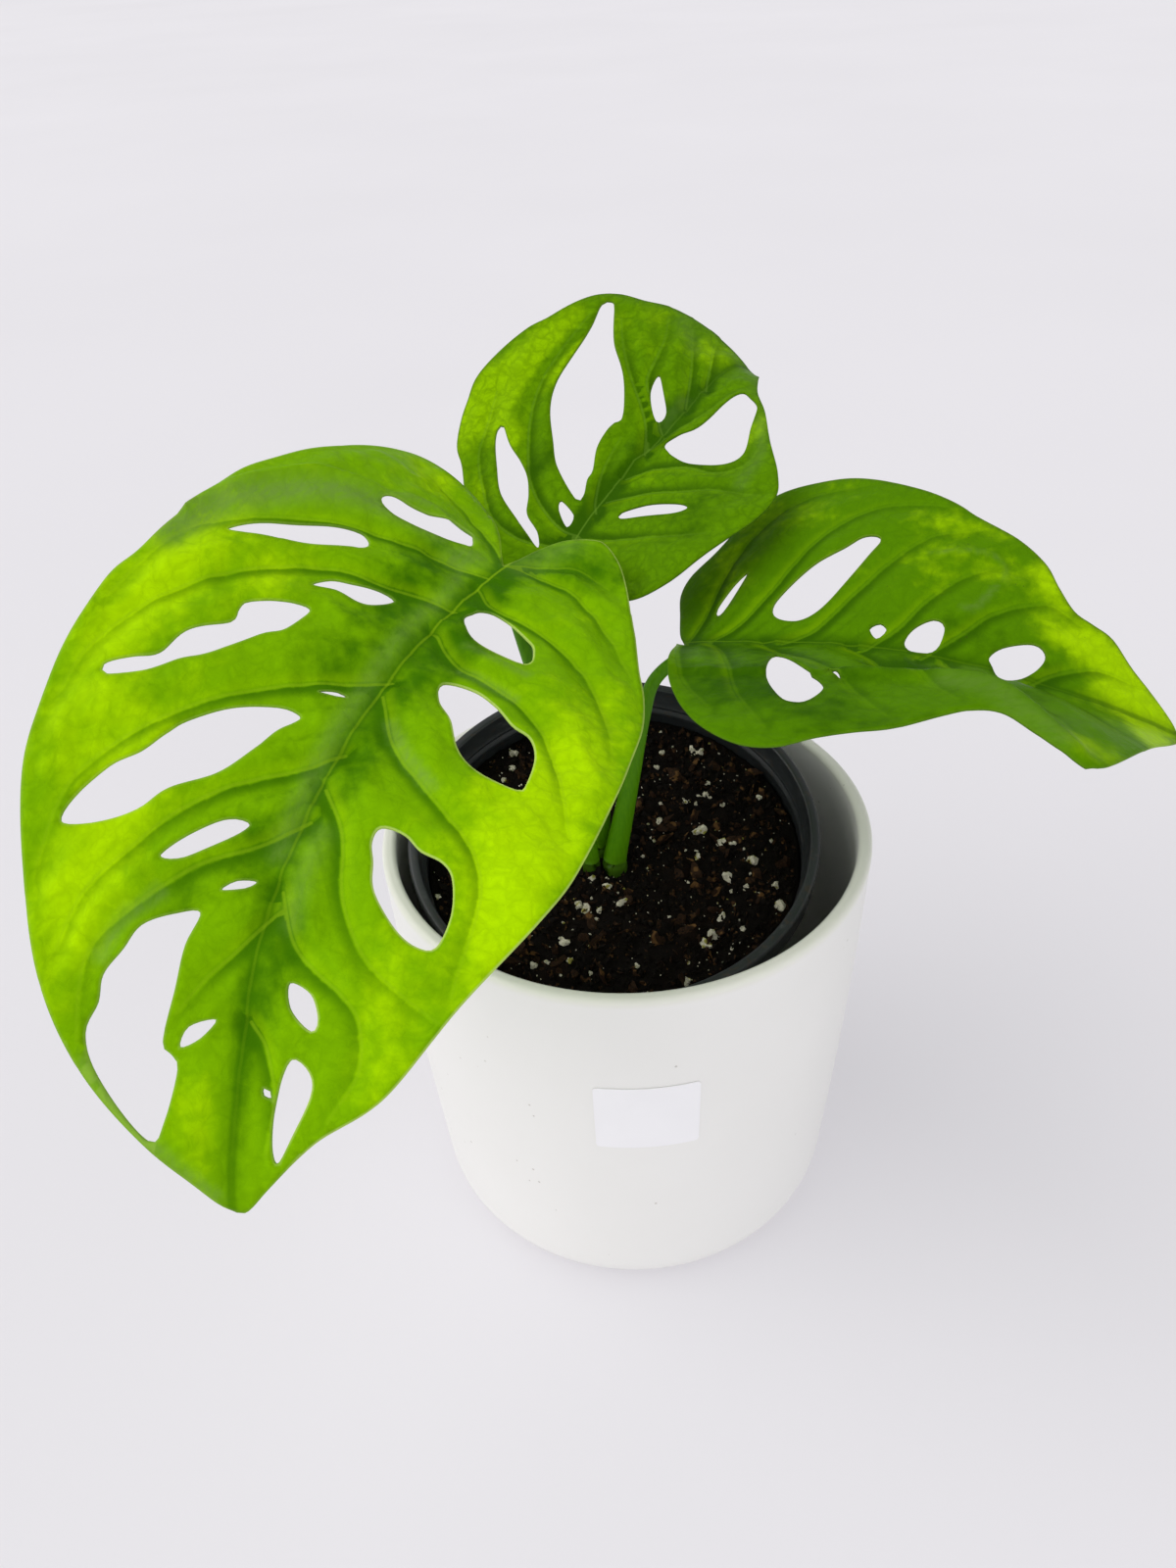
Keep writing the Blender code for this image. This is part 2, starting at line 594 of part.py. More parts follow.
def make_petiole(name, petiole, material, collection):
    """A tapering stalk from its root in the soil up to the underside of its blade."""
    foot = petiole_foot(petiole)
    leaf = petiole["leaf"]
    thick, thin = petiole["radii"]
    clear = BLADE_THICKNESS / 2 + GAP
    knee = under_midrib(leaf, 0.0, clear + thin + 0.1)
    end = under_midrib(leaf, PETIOLE_SEAT, clear + PETIOLE_TIP_RADIUS)
    route = [foot + Vector((0, 0, rise)) for rise in (-PETIOLE_ROOT, -8, 0, 4)]
    route += [Vector(p) for p in petiole["bend"]] + [knee, end]
    length = sum((b - a).length for a, b in zip(route, route[1:]))
    line = smooth_line_3d(route, length / PETIOLE_POINTS)
    curve = bpy.data.curves.new(name, "CURVE")
    curve.dimensions = "3D"
    curve.bevel_depth = MM
    curve.bevel_resolution = 3
    curve.use_fill_caps = True
    spline = curve.splines.new("POLY")
    spline.points.add(len(line) - 1)
    for i, place in enumerate(line):
        share = min(max(0.0, (place.z - foot.z) / (knee.z - foot.z)), 1.0)
        radius = thick + (thin - thick) * share ** 0.7
        near = (place - end).length / (knee - end).length
        if near < 1:
            radius = PETIOLE_TIP_RADIUS + (thin - PETIOLE_TIP_RADIUS) * near
        spline.points[i].co = (*(place * MM), 1.0)
        spline.points[i].radius = radius
    thing = bpy.data.objects.new(name, curve)
    collection.objects.link(thing)
    curve.materials.append(material)
    return thing


def smooth_line_3d(points, step):
    """Catmull-Rom line through points in space."""
    line = []
    count = len(points)
    for i in range(count - 1):
        p1 = points[i]
        p2 = points[i + 1]
        p0 = points[i - 1] if i > 0 else p1 * 2 - p2
        p3 = points[i + 2] if i + 2 < count else p2 * 2 - p1
        pieces = max(1, round((p2 - p1).length / step))
        for k in range(pieces):
            t = k / pieces
            near = p1 * 2 + (p2 - p0) * t
            bend = (p0 * 2 - p1 * 5 + p2 * 4 - p3) * t * t
            far = (p1 * 3 - p0 - p2 * 3 + p3) * t * t * t
            line.append((near + bend + far) / 2)
    line.append(points[-1])
    return line


def make_label(material, collection):
    """A thin blank paper rectangle that follows the front of the cover pot."""
    sweep = LABEL_WIDTH / cover_radius((LABEL_LOW + LABEL_HIGH) / 2)
    rows = (LABEL_LOW, (LABEL_LOW + LABEL_HIGH) / 2, LABEL_HIGH)
    shape = bmesh.new()
    grid = []
    for z in rows:
        row = []
        for i in range(LABEL_COLUMNS + 1):
            angle = LABEL_ANGLE + sweep * (i / LABEL_COLUMNS - 0.5)
            radius = cover_radius(z) + LABEL_GAP
            row.append(shape.verts.new(
                (radius * math.sin(angle) * MM, -radius * math.cos(angle) * MM, z * MM)))
        grid.append(row)
    for low, high in zip(grid, grid[1:]):
        for i in range(LABEL_COLUMNS):
            shape.faces.new((low[i], low[i + 1], high[i + 1], high[i]))
    bmesh.ops.triangulate(shape, faces=shape.faces)
    mesh = bpy.data.meshes.new("blank_label")
    shape.to_mesh(mesh)
    shape.free()
    label = add_object("blank_label", mesh, material, collection)
    paper = label.modifiers.new("paper", "SOLIDIFY")
    paper.thickness = LABEL_THICKNESS * MM
    paper.offset = 1.0
    return label


def main():
    """Build the whole part."""
    clear_scene()
    parts = bpy.data.collections.new("monstera_adansonii")
    cutters = bpy.data.collections.new("cutters")
    bpy.context.scene.collection.children.link(parts)
    bpy.context.scene.collection.children.link(cutters)
    ceramic = make_material("white_ceramic", (0.86, 0.85, 0.81), 0.45)
    plastic = make_material("black_plastic", (0.02, 0.021, 0.023), 0.4)
    earth = make_material("peat_soil", (0.035, 0.022, 0.015), 0.95)
    paper = make_material("white_paper", (0.9, 0.9, 0.92), 0.6)
    stalk = make_material("petiole_green", (0.16, 0.33, 0.03), 0.45)
    bright = make_material("leaf_bright_green", (0.3, 0.55, 0.02), 0.4)
    deep = make_material("leaf_deep_green", (0.15, 0.36, 0.02), 0.4)
    make_cover_pot(ceramic, parts)
    make_nursery_pot(plastic, parts, cutters)
    make_soil(earth, parts, cutters)
    make_label(paper, parts)
    for name, petiole in PETIOLES.items():
        make_petiole(name, petiole, stalk, parts)
    make_leaf("leaf_left", LEAF_LEFT, bright, parts)
    make_leaf("leaf_back", LEAF_BACK, deep, parts)
    make_leaf("leaf_right", LEAF_RIGHT, deep, parts)


main()
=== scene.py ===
# %% [markdown]
# # A potted monstera adansonii
#
# Three big holed leaves arch out of a black nursery pot that stands, tipped a little
# forward, inside a round white cover pot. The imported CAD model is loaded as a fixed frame,
# and each of its plain nodes is replaced with a finer piece of the same form: blades with
# impressed veins, stalks, crumbly soil with perlite and bark, moulded plastic and glazed
# ceramic. Everything is in metres in the frame, and the sizes below are in millimetres.

# %% Load the frame
import json
import math

import bmesh
import bpy
import numpy as np
from mathutils import Matrix, Vector, noise
from mathutils.geometry import delaunay_2d_cdt

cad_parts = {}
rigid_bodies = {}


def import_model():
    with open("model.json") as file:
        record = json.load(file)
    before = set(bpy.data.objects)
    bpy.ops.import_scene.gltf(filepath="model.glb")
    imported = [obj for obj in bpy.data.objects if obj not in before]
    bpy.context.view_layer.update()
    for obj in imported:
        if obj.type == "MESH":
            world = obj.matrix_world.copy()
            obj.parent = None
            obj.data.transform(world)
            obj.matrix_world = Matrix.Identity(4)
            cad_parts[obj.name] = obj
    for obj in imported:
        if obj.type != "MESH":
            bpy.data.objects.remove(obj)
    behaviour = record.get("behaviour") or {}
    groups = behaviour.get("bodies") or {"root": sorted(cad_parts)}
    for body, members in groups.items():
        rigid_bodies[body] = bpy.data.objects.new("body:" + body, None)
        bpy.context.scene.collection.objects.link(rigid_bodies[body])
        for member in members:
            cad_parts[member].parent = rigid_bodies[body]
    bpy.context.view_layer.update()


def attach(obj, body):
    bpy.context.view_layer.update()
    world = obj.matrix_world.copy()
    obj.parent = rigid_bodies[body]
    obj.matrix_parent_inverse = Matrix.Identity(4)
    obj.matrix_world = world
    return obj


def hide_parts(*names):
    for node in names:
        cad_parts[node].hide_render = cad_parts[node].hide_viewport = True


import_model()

MM = 0.001
GAP = 0.3

# %% [markdown]
# ## Sizes
#
# The cover pot, the nursery pot and the soil line were measured in the photograph against
# a nursery pot of 12 cm, the common size. They are the same values as in the part's own
# source, so that each finer piece stays where its plain node is.

# %% Sizes of the pots and the soil
COVER_HEIGHT = 140.0
COVER_RIM_RADIUS = 71.5
COVER_FOOT_RADIUS = 66.7
COVER_FOOT_ROUND = 13.0
COVER_WALL = 4.0
COVER_FLOOR = 4.2
COVER_LIP_ROUND = 1.6
COVER_BULGE = 0.8

NURSERY_RIM_RADIUS = 60.0
NURSERY_RIM_WIDTH = 3.0
NURSERY_RIM_DEPTH = 9.0
NURSERY_BASE_RADIUS = 40.15
NURSERY_FOOT_ROUND = 1.6
NURSERY_WALL = 1.2
NURSERY_RIDGE_DEPTHS = (7.0, 9.6)
NURSERY_TILT = math.radians(12.0)
NURSERY_RIM_CENTRE = Vector((-3.7, -3.7, 141.0))
DRAIN_HOLE_COUNT = 8
DRAIN_HOLE_RADIUS = 4.5
DRAIN_RING_RADIUS = 27.0

SOIL_DEPTH = 13.0
SOIL_RELIEF = 1.1

LABEL_WIDTH = 29.0
LABEL_LOW = 79.0
LABEL_HIGH = 105.5
LABEL_ANGLE = math.radians(1.1)
LABEL_CORNER = 1.0
LABEL_THICKNESS = 0.25
print("cover pot", 2 * COVER_RIM_RADIUS, "mm across,", COVER_HEIGHT, "mm tall")

# %% [markdown]
# ## The three leaves
#
# A leaf is described flat, as if pressed in a book. A place on it is (u, v): u runs along
# the midrib from the stalk and v across it, in millimetres. The margin is two open lines
# from the notch at the stalk to the tip, so both ends stay sharp, and each cut-out is a
# closed line. The midrib itself is a curve in space. Fold, droop, roll and a bend of the
# back lobes turn the flat leaf into a living one. The veins are listed the same way, from
# the midrib to the margin, because they steer both the relief and the colour. So are the
# creases with their height, their width and the fall beyond them, the painted grey sheen in
# strips of a half width and a strength, and the painted light and shade: soft spots (u, v,
# length, width, strength) painted bright where light shines through or falls on the blade
# or, where the strength is negative, painted deep green as shade.

# %% The left leaf, the largest and brightest
LEAF_LEFT = {
    "relief": 1.2,
    "midrib": [(-29, 4, 222), (-42, -25, 224), (-78, -95, 230), (-79, -141, 168)],
    "roll": [(0, -24), (174, -5)],
    "plus": [(0, 0.13, 0.21), (174, 0.13, 0.21)],
    "minus": [(0, 0.24, 0.14), (174, 0.24, 0.14)],
    "lobe_bend": (20, -0.15, 0.3),
    "margin_plus": [
        (0, 0), (-8, 1.6), (-16, 3.4), (-24.5, 7), (-28.5, 14.5), (-24.5, 22), (-16.5, 28.5),
        (-6, 35), (10, 44.5), (27, 52.7),
        (55, 56), (85, 55.5), (106, 51), (129, 40), (150, 28), (160, 15), (168.5, 6.5),
        (172.3, 3), (173.4, 1.4), (173.2, 0)],
    "margin_minus": [
        (0, 0), (-5, -3), (-13.5, -8), (-22.5, -15), (-27.5, -23.5), (-29, -32), (-26, -39),
        (-19, -44), (-8, -48.5), (10, -53.5), (28, -58.6),
        (45, -59.8), (58, -60.6), (65, -62), (74, -61), (84, -60), (94, -57.5), (104, -54.3),
        (119, -47), (135, -38.3), (148, -28.5), (160, -16.3), (167, -8), (171, -3.6),
        (172.4, -1.6), (173.2, 0)],
    "holes": [
        [(0, -9.5), (-2, -13), (-0.5, -19), (4, -26), (9.8, -32.4), (12, -28), (10.5, -22.5),
         (7, -17), (3, -11.6)],
        [(24, -26.5), (24.3, -30), (31, -38), (38, -45), (44.5, -50), (42, -43.5), (36, -34),
         (30, -27), (26.5, -25)],
        [(34.6, -11.6), (35, -15), (38.5, -20.5), (41, -25), (45, -27.2), (42.8, -22.5),
         (42.5, -17), (41, -14.2), (37.5, -12)],
        [(51.7, -23.4), (52.3, -27), (57, -34.6), (59.5, -35.5), (63.5, -35), (70, -41),
         (76, -43), (79, -47), (82.6, -50.8), (84.2, -49), (81, -43.8), (76, -39), (72, -34),
         (63, -28.5), (59, -24.6)],
        [(65.7, -5.6), (65.8, -8), (68.2, -11.2), (67.2, -7.6)],
        [(75.6, -11.3), (75.4, -16), (80.5, -24), (86, -30.5), (90, -32.8), (95, -35.2),
         (99, -39.6), (105, -42.8), (110.4, -43.4), (109.4, -38), (105, -31), (100, -27.2),
         (93.5, -20), (87, -16), (80.5, -13.8)],
        [(101.2, -10.2), (101.4, -14.4), (105.5, -18.8), (111.5, -23.7), (111, -19.2),
         (105.5, -13)],
        [(111.6, -5), (112.5, -8.5), (115, -10.7), (113.6, -6.6)],
        [(119.8, -13.2), (121, -18), (124, -22.8), (128.5, -24.8), (133, -27.4), (137.5, -27.2),
         (142.5, -28.3), (149, -25), (159.4, -15.4), (156, -12.7), (147.5, -11.4), (145, -12.8),
         (143, -14.6), (134, -14), (126, -14.2)],
        [(138.3, -5.8), (140, -10.4), (143.6, -11.4), (141.8, -8)],
        [(25, 3), (20, 5.8), (19.6, 10), (22.5, 18), (24.5, 21), (30.5, 23), (33.3, 20.5),
         (32.6, 10), (29.5, 5)],
        [(50.8, 10), (48.3, 17), (50, 22.5), (54.6, 28.5), (55.4, 33.5), (60, 36.5), (70, 37.9),
         (73.3, 36.8), (72.8, 29), (68, 21.5), (61, 16.5), (56, 11.6)],
        [(94, 14.6), (94, 19.5), (97, 24), (98.6, 29), (102, 32), (110, 33.8), (118, 32.8),
         (118.6, 29), (115.4, 24), (108.5, 18), (102, 15.6), (97.5, 13.8)],
        [(129.8, 6.2), (131.5, 11), (136, 13.4), (138.6, 12.4), (134.6, 7.6)],
        [(144.3, 9.4), (146.5, 12.8), (151, 13.5), (159, 10.5), (164, 7.6), (157, 6.4),
         (150, 7.2)],
        [(150.1, 4.2), (150.7, 5.5), (152, 5.8), (151.6, 4.3)]],
    "rib": [(0, 0.6), (10, 0), (20, -0.6), (45, -0.8), (75, -0.9), (110, -1.2), (125, -1.4),
            (145, -0.3), (165, -0.9)],
    "veins": [
        [(0, 0), (-8, -7), (-16, -19), (-19, -33)],
        [(8, 0), (10, -5), (14.5, -16.5), (22, -28.5), (31, -40.5), (41, -50.5), (48, -56.3),
         (60, -58.8), (70, -59.5)],
        [(24, 0), (27, -6), (32.5, -15.5), (37.5, -26.5), (46, -36), (55, -44), (66, -51),
         (79, -55.7), (90, -56)],
        [(55, 0), (62, -7), (70, -17.5), (80, -28.5), (90, -37.5), (100, -44), (106, -45.5),
         (118, -45)],
        [(78, 0), (86, -6), (95, -17), (105, -25.5), (112, -30), (120, -35), (130, -37)],
        [(96, 0), (104, -6.5), (112, -17), (121, -25.5), (128, -30.7), (135, -31.2), (144, -29.5)],
        [(117, 0), (124, -4), (131, -9), (138, -13)],
        [(0, 0), (-8, 6), (-14, 14), (-13, 25)],
        [(0, 0), (-3, 6), (-4, 18), (3, 32), (14, 44)],
        [(13, 0), (17, 6), (17, 15), (18, 25), (23, 35), (34, 45), (48, 52)],
        [(35, 0), (42, 9), (43.7, 18), (45, 26), (50, 34), (62, 43), (80, 51)],
        [(60, 0), (72, 8), (80, 18), (89, 30), (95, 35), (102, 38), (112, 38.7), (128, 37.5)],
        [(88, 0), (97, 7), (111, 12), (122, 19), (129, 28), (134, 36)],
        [(112, 0), (122, 5), (127, 11), (131, 17), (136, 21), (146, 22), (156, 17)],
        [(138, 0), (143, 4), (152, 6.5), (163, 5.5)]],
    "creases": [
        (1.9, 1.5, 0.3, [(-2, -9), (0, -24), (8, -32), (11, -38), (16, -45), (22, -50),
                         (30, -54.5), (38, -58), (46, -60)])],
    "bloom": [
        (3.4, 0.95, [(6, -18), (12, -31), (20, -41), (30, -49), (40, -55.5), (52, -58.8)]),
        (1.6, 0.7, [(-2.5, -10), (-3, -19), (1, -26), (8, -32)]),
        (1.9, 0.5, [(8, -7), (22, -4.5), (40, -5), (60, -4), (80, -3.6), (105, -3)]),
        (3.6, 0.7, [(4, -7), (9, -9)]),
        (1.4, 0.5, [(35.5, 9), (36, 24)]),
        (1.2, 0.6, [(44, 11), (44.5, 25)]),
        (1.3, 0.75, [(67, 5), (75, 13), (80, 20)]),
        (4.0, 0.45, [(-21, 8), (-12, 5), (-3, 3)]),
        (2.2, 0.4, [(98, 3), (118, 4)]),
        (1.2, 0.6, [(118, -21.5), (124, -26.5), (130, -28.5)]),
        (1.3, 0.7, [(147, -27.5), (160, -15), (170, -4)])],
    "glow": [
        (70, 44, 42, 12, 0.95), (106, 44, 24, 8, 0.6), (8, 24, 12, 9, 0.2), (-15, 14, 12, 12, -0.65),
        (134, 26, 20, 8, 0.6), (66, -52, 32, 8, 0.95), (112, -36, 30, 10, 0.85),
        (92, -13, 12, 7, 0.1), (-14, -32, 14, 12, 0.55), (156, -7, 12, 5, 0.5),
        (48, -35, 14, 7, 0.5), (85, 26, 14, 9, 0.3), (10, 2.5, 24, 4, -0.7),
        (25, -12, 30, 9, -0.65), (36, 8, 22, 6, -0.5), (75, 4, 30, 5, -0.5), (60, -8, 12, 8, -0.4),
        (128, 2, 16, 8, -0.45), (104, -8, 9, 7, -0.6), (118, -17, 9, 5, -0.5),
        (32, -48, 14, 8, -0.2), (150, 0, 16, 2.5, -0.5)],
}
print("left leaf:", len(LEAF_LEFT["holes"]), "cut-outs,", len(LEAF_LEFT["veins"]), "side veins")

# %% The back leaf, whose tip curls over and away
LEAF_BACK = {
    "relief": 0.9,
    "midrib": [(-10, 44, 209), (24, 83, 236), (55, 108, 258), (56, 112, 206)],
    "roll": [(0, 0), (60, 10), (84, 14), (108, 30)],
    "plus": [(0, 0.3, 0.12), (60, 0.3, 0.12), (84, 0.3, 0.2), (108, 0.1, 1.6)],
    "minus": [(0, 0.2, 0.15), (84, 0.2, 0.2), (108, 0.1, 1.2)],
    "lobe_bend": (10, 0.1, 0.1),
    "margin_plus": [
        (0, 0), (-8, 2), (-15, 8), (-17, 18), (-13, 28), (-6, 35.5), (0, 40.3), (5.5, 45.3),
        (10, 50.5), (18, 55),
        (24, 57), (31, 58.7), (41, 57.7), (50, 55.2), (56, 52.3), (65, 50.2), (70, 48),
        (74, 43.5), (77, 36.5), (81, 31), (83.5, 25), (86.5, 17), (89, 9), (91, 0)],
    "margin_minus": [
        (0, 0), (-9, -6), (-15, -18), (-14.5, -30), (-6, -38), (7, -43.5), (20, -48), (33, -48),
        (42, -43), (53, -33), (64, -23.5), (72, -15), (81, -8.5), (87, -4.5), (91, 0)],
    "holes": [
        [(-7.4, 8.8), (-5, 14), (-2, 20), (3, 29), (10, 35.5), (16, 40.4), (20, 42.3),
         (21.4, 41.2), (17.5, 36), (14.5, 30), (11, 25), (6, 21), (0.5, 17.8), (-3, 12)],
        [(11.6, 8.2), (13.5, 6.8), (18.5, 8.8), (22, 9.2), (29, 12.6), (35, 13.5), (38.6, 13),
         (40.4, 12), (45, 14.4), (53, 21), (60, 30.5), (69, 40.2), (70.2, 43), (68, 44),
         (61, 40.4), (50, 37.4), (40, 35.8), (33, 32.4), (25, 25.6), (18, 19)],
        [(46.3, 3.6), (48.5, 2.4), (52.5, 4.6), (60, 12.8), (55, 11.9), (49.5, 7.7)],
        [(40, -4), (44.5, -6), (49.5, -9.4), (61, -9.8), (68.6, -11.4), (68, -15), (64.5, -20.3),
         (55, -24.8), (45, -28.9), (38.4, -25.4), (35.7, -17), (37, -9)],
        [(2.4, 5.2), (6.6, 5.6), (9.2, 11.6), (6.5, 10.8)],
        [(10.4, -9), (12.6, -8), (17, -14.5), (20.4, -24), (19.4, -27.5), (16, -24), (12.4, -15)]],
    "rib": [(0, 0.3), (15, 1.4), (30, 1.1), (42, -0.4), (52, -1), (65, 0.4), (80, 2.4)],
    "veins": [
        [(0, 0), (-5, 6), (-7.5, 16), (-5, 27), (2, 35), (10, 42.5), (20, 46.5), (30, 50.5)],
        [(1, 0), (1, 6), (4, 14), (9, 22), (15, 27.5), (25, 34.5), (36, 39.5), (48, 41.5),
         (64, 44)],
        [(10, 0), (14, 3), (24, 7), (36, 9)],
        [(35, 0), (43, 5), (50, 13), (57, 23), (68, 36)],
        [(44, 0), (50, 7), (56, 14.5), (64, 18), (72, 22), (78, 28)],
        [(56, 0), (63, 4), (70, 9), (76, 15), (81, 21)],
        [(66, 0), (74, 5), (80, 10), (85, 14)],
        [(0, 0), (-6, -6), (-10, -16), (-9, -28)],
        [(0, 0), (2, -8), (5, -17), (8, -27), (13, -38)],
        [(15, 0), (20, -8), (25, -20), (29, -31), (32, -44)],
        [(25, 0), (31, -7), (34, -16), (35, -26), (42, -32), (52, -31)],
        [(37, 0), (45, -3), (56, -7), (67, -9)]],
    "creases": [],
    "bloom": [
        (2.0, 0.5, [(34, -36), (48, -33), (60, -25)]), (2.5, 0.4, [(76, 14), (80, 24)]),
        (1.6, 0.4, [(46, 1), (58, 2)])],
    "glow": [
        (24, 52, 20, 7, 1.0), (45, 47, 20, 6, 0.95), (50, 37.5, 14, 2.5, 0.9),
        (20, 38, 5, 6, 0.9), (2, 36, 8, 8, 0.45), (72, 28, 12, 12, 0.35), (56, -26, 10, 4, 0.8),
        (30, -9, 6, 6, 0.35), (80, 8, 8, 8, 0.7), (-3, -20, 10, 10, 0.25), (25, 12, 8, 3, 0.4),
        (12, 1, 26, 5, -0.9), (14, 24, 12, 5, -0.5), (50, 42, 14, 2, -0.5), (55, 0, 18, 5, -0.7),
        (46, 20, 12, 4, -0.35), (20, -30, 18, 14, -0.3)],
}
print("back leaf:", len(LEAF_BACK["holes"]), "cut-outs,", len(LEAF_BACK["veins"]), "side veins")

# %% The right leaf, darker, with a raised fold in its near half
LEAF_RIGHT = {
    "relief": 0.5,
    "midrib": [(18, 9, 193), (55, -18, 211), (89, -37, 211), (128, -45, 194)],
    "roll": [(0, 2), (127, -2)],
    "plus": [(0, 0.45, 0.15), (127, 0.45, 0.15)],
    "minus": [(0, 0.9, 1.2), (28, 0.5, 0.6), (60, 0.45, 0.55), (86, 0.9, 1.4), (110, 0.45, 0.5),
              (127, 0.3, 0.4)],
    "lobe_bend": (10, 0.1, 0.1),
    "margin_plus": [
        (0, 0), (-3.5, 4), (-7, 11), (-10.6, 19), (-10.2, 26), (-5.5, 33.5), (-3, 39), (-0.5, 46),
        (4, 53), (12, 57), (25, 59), (38, 58), (50, 55), (62, 50.5), (69, 47), (80, 43),
        (89, 37), (94, 30.5), (99, 25), (104, 23), (110, 21), (116, 15), (123, 9.5), (128, 4.6),
        (130, 0)],
    "margin_minus": [
        (0, 0), (5, -9), (10, -16.5), (15, -28), (21, -38), (28, -46.5), (35, -52.4), (43, -55.4),
        (50, -54.4), (56, -49.5), (62, -45.6), (68, -42.6), (75, -37), (80, -33.6), (85, -33.2),
        (91, -38), (98, -42), (103, -40.4), (111, -27), (119, -14), (130, 0)],
    "holes": [
        [(4.8, 13), (6.4, 10), (8.2, 13), (10.2, 24), (7.4, 21)],
        [(22.7, 13), (24.4, 9), (29, 7.4), (34, 8.8), (38.6, 15), (43.5, 29), (45.5, 34.4),
         (44, 36.3), (40, 36), (36, 32), (30, 26.4), (25.5, 20)],
        [(51.3, 6.8), (53.4, 8.7), (55.5, 7), (53.8, 4)],
        [(60.7, 5), (62, 9), (66, 12.1), (69, 10.6), (69.2, 5), (67, 2.4), (62.4, 2.3)],
        [(81.4, 5), (84, 8.8), (91, 11.8), (94.2, 9.6), (92.6, 4.4), (87.6, -0.8), (85, -1.4),
         (82.8, 2.4)],
        [(35.2, -15.8), (37, -15), (44, -20.5), (50, -26.6), (52.2, -31), (51, -36.5),
         (48.6, -38.4), (45, -36.8), (38.5, -27)],
        [(50, -19.8), (51.3, -22.6), (54.2, -25.5), (52.6, -22.4)]],
    "rib": [(0, 0.6), (25, 0.8), (45, 1.6), (70, 2), (130, 1.6)],
    "veins": [
        [(1, 0), (2, 10), (2, 22), (4, 34), (10, 46), (20, 53), (34, 56)],
        [(8, 0), (14, 6), (20, 17), (25, 31), (31, 40), (40, 46.5), (52, 49.5), (64, 49)],
        [(30, 0), (37, 5), (44, 17), (50, 28), (58, 38), (70, 43)],
        [(52, 0), (58, 8), (63, 18), (70, 27), (80, 34)],
        [(66, 0), (73, 9), (80, 18), (92, 25), (101, 22)],
        [(92, 0), (98, 6), (107, 11), (116, 11)],
        [(1, 0), (7, -9), (14, -22), (22, -34), (33, -45)],
        [(8, 0), (18, -10), (28, -24), (36, -37), (46, -49)],
        [(24, 0), (34, -9), (48, -18), (58, -29), (66, -38)],
        [(48, 0), (60, -9), (70, -20), (77, -30)],
        [(72, 0), (82, -10), (90, -22), (99, -35)],
        [(92, 0), (100, -8), (108, -18), (112, -23)]],
    "creases": [
        (1.8, 2.6, 1.2, [(54, -22), (60, -20.5), (66, -18.6), (74, -18.4), (80, -21), (86, -27),
                         (92, -34), (97, -39)]),
        (-1.6, 4.0, 0.0, [(58, -9), (70, -8), (80, -9), (88, -14), (94, -22)]),
        (0.5, 1.0, 0.0, [(60, 32), (70, 35), (76, 35), (79.5, 32), (80, 27), (77, 21),
                         (72, 16)])],
    "bloom": [
        (2.2, 0.6, [(74, -21), (81, -25), (88, -33), (95, -38)]),
        (1.2, 0.5, [(72, -2), (80, 0), (83, -4)]),
        (0.8, 0.8, [(78, 25), (75, 18), (72, 17)]),
        (0.5, 0.6, [(60, 32), (70, 35), (76, 35), (79.5, 32), (80, 27)])],
    "glow": [
        (70, 44, 22, 4, 0.5), (92, 32, 8, 8, 0.6), (78, 30, 14, 9, 0.25), (104, 17, 14, 7, 0.9),
        (120, 6, 14, 9, 1.0), (119, -13, 7, 14, 0.95), (18, 46, 18, 7, 0.25),
        (64, -30, 14, 7, 0.25), (58, 30, 12, 9, 0.3), (100, -36, 8, 5, 0.5),
        (20, -9, 20, 9, -0.6), (64, -7, 9, 7, -0.9), (50, -34, 28, 16, -0.55),
        (76, 12, 14, 6, -0.35), (3, 30, 12, 22, 0.35),
        (92, -12, 7, 12, -0.3), (30, -30, 14, 12, -0.25), (96, 7, 7, 6, -0.5)],
}
print("right leaf:", len(LEAF_RIGHT["holes"]), "cut-outs,", len(LEAF_RIGHT["veins"]), "side veins")

# %% [markdown]
# ## Camera
#
# The photograph looks down at about 38 degrees with a wide phone lens, close to the plant.
# The camera's place and turn came from fitting both pots' rims.

# %% Camera
CAMERA_PLACE = Vector((-9.02, -268.69, 360.54)) * MM
CAMERA_YAW = math.radians(-0.282)
CAMERA_DOWN = math.radians(37.593)
CAMERA_ROLL = math.radians(-3.043)
FOCAL_PIXELS = 1201.9
PHOTO_HEIGHT = 1600
SENSOR_HEIGHT = 36.0


def new_object(name, data):
    """Link a mesh, a curve, a light or a camera as an object at the origin."""
    thing = bpy.data.objects.new(name, data)
    bpy.context.scene.collection.objects.link(thing)
    return thing


def add_camera():
    """Place the camera from its yaw, its look down and its roll."""
    ahead = Vector((math.sin(CAMERA_YAW) * math.cos(CAMERA_DOWN),
                    math.cos(CAMERA_YAW) * math.cos(CAMERA_DOWN), -math.sin(CAMERA_DOWN)))
    right = Vector((math.cos(CAMERA_YAW), -math.sin(CAMERA_YAW), 0))
    above = right.cross(ahead)
    side = right * math.cos(CAMERA_ROLL) + above * math.sin(CAMERA_ROLL)
    top = above * math.cos(CAMERA_ROLL) - right * math.sin(CAMERA_ROLL)
    lens = bpy.data.cameras.new("camera")
    lens.sensor_fit = "VERTICAL"
    lens.sensor_height = SENSOR_HEIGHT
    lens.lens = SENSOR_HEIGHT * FOCAL_PIXELS / PHOTO_HEIGHT
    lens.clip_start = 10 * MM
    camera = new_object("camera", lens)
    turned = Matrix((side, top, -ahead)).transposed().to_4x4()
    camera.matrix_world = Matrix.Translation(CAMERA_PLACE) @ turned
    bpy.context.scene.camera = camera
    return camera


camera = add_camera()
print("camera lens", round(camera.data.lens, 2), "mm")

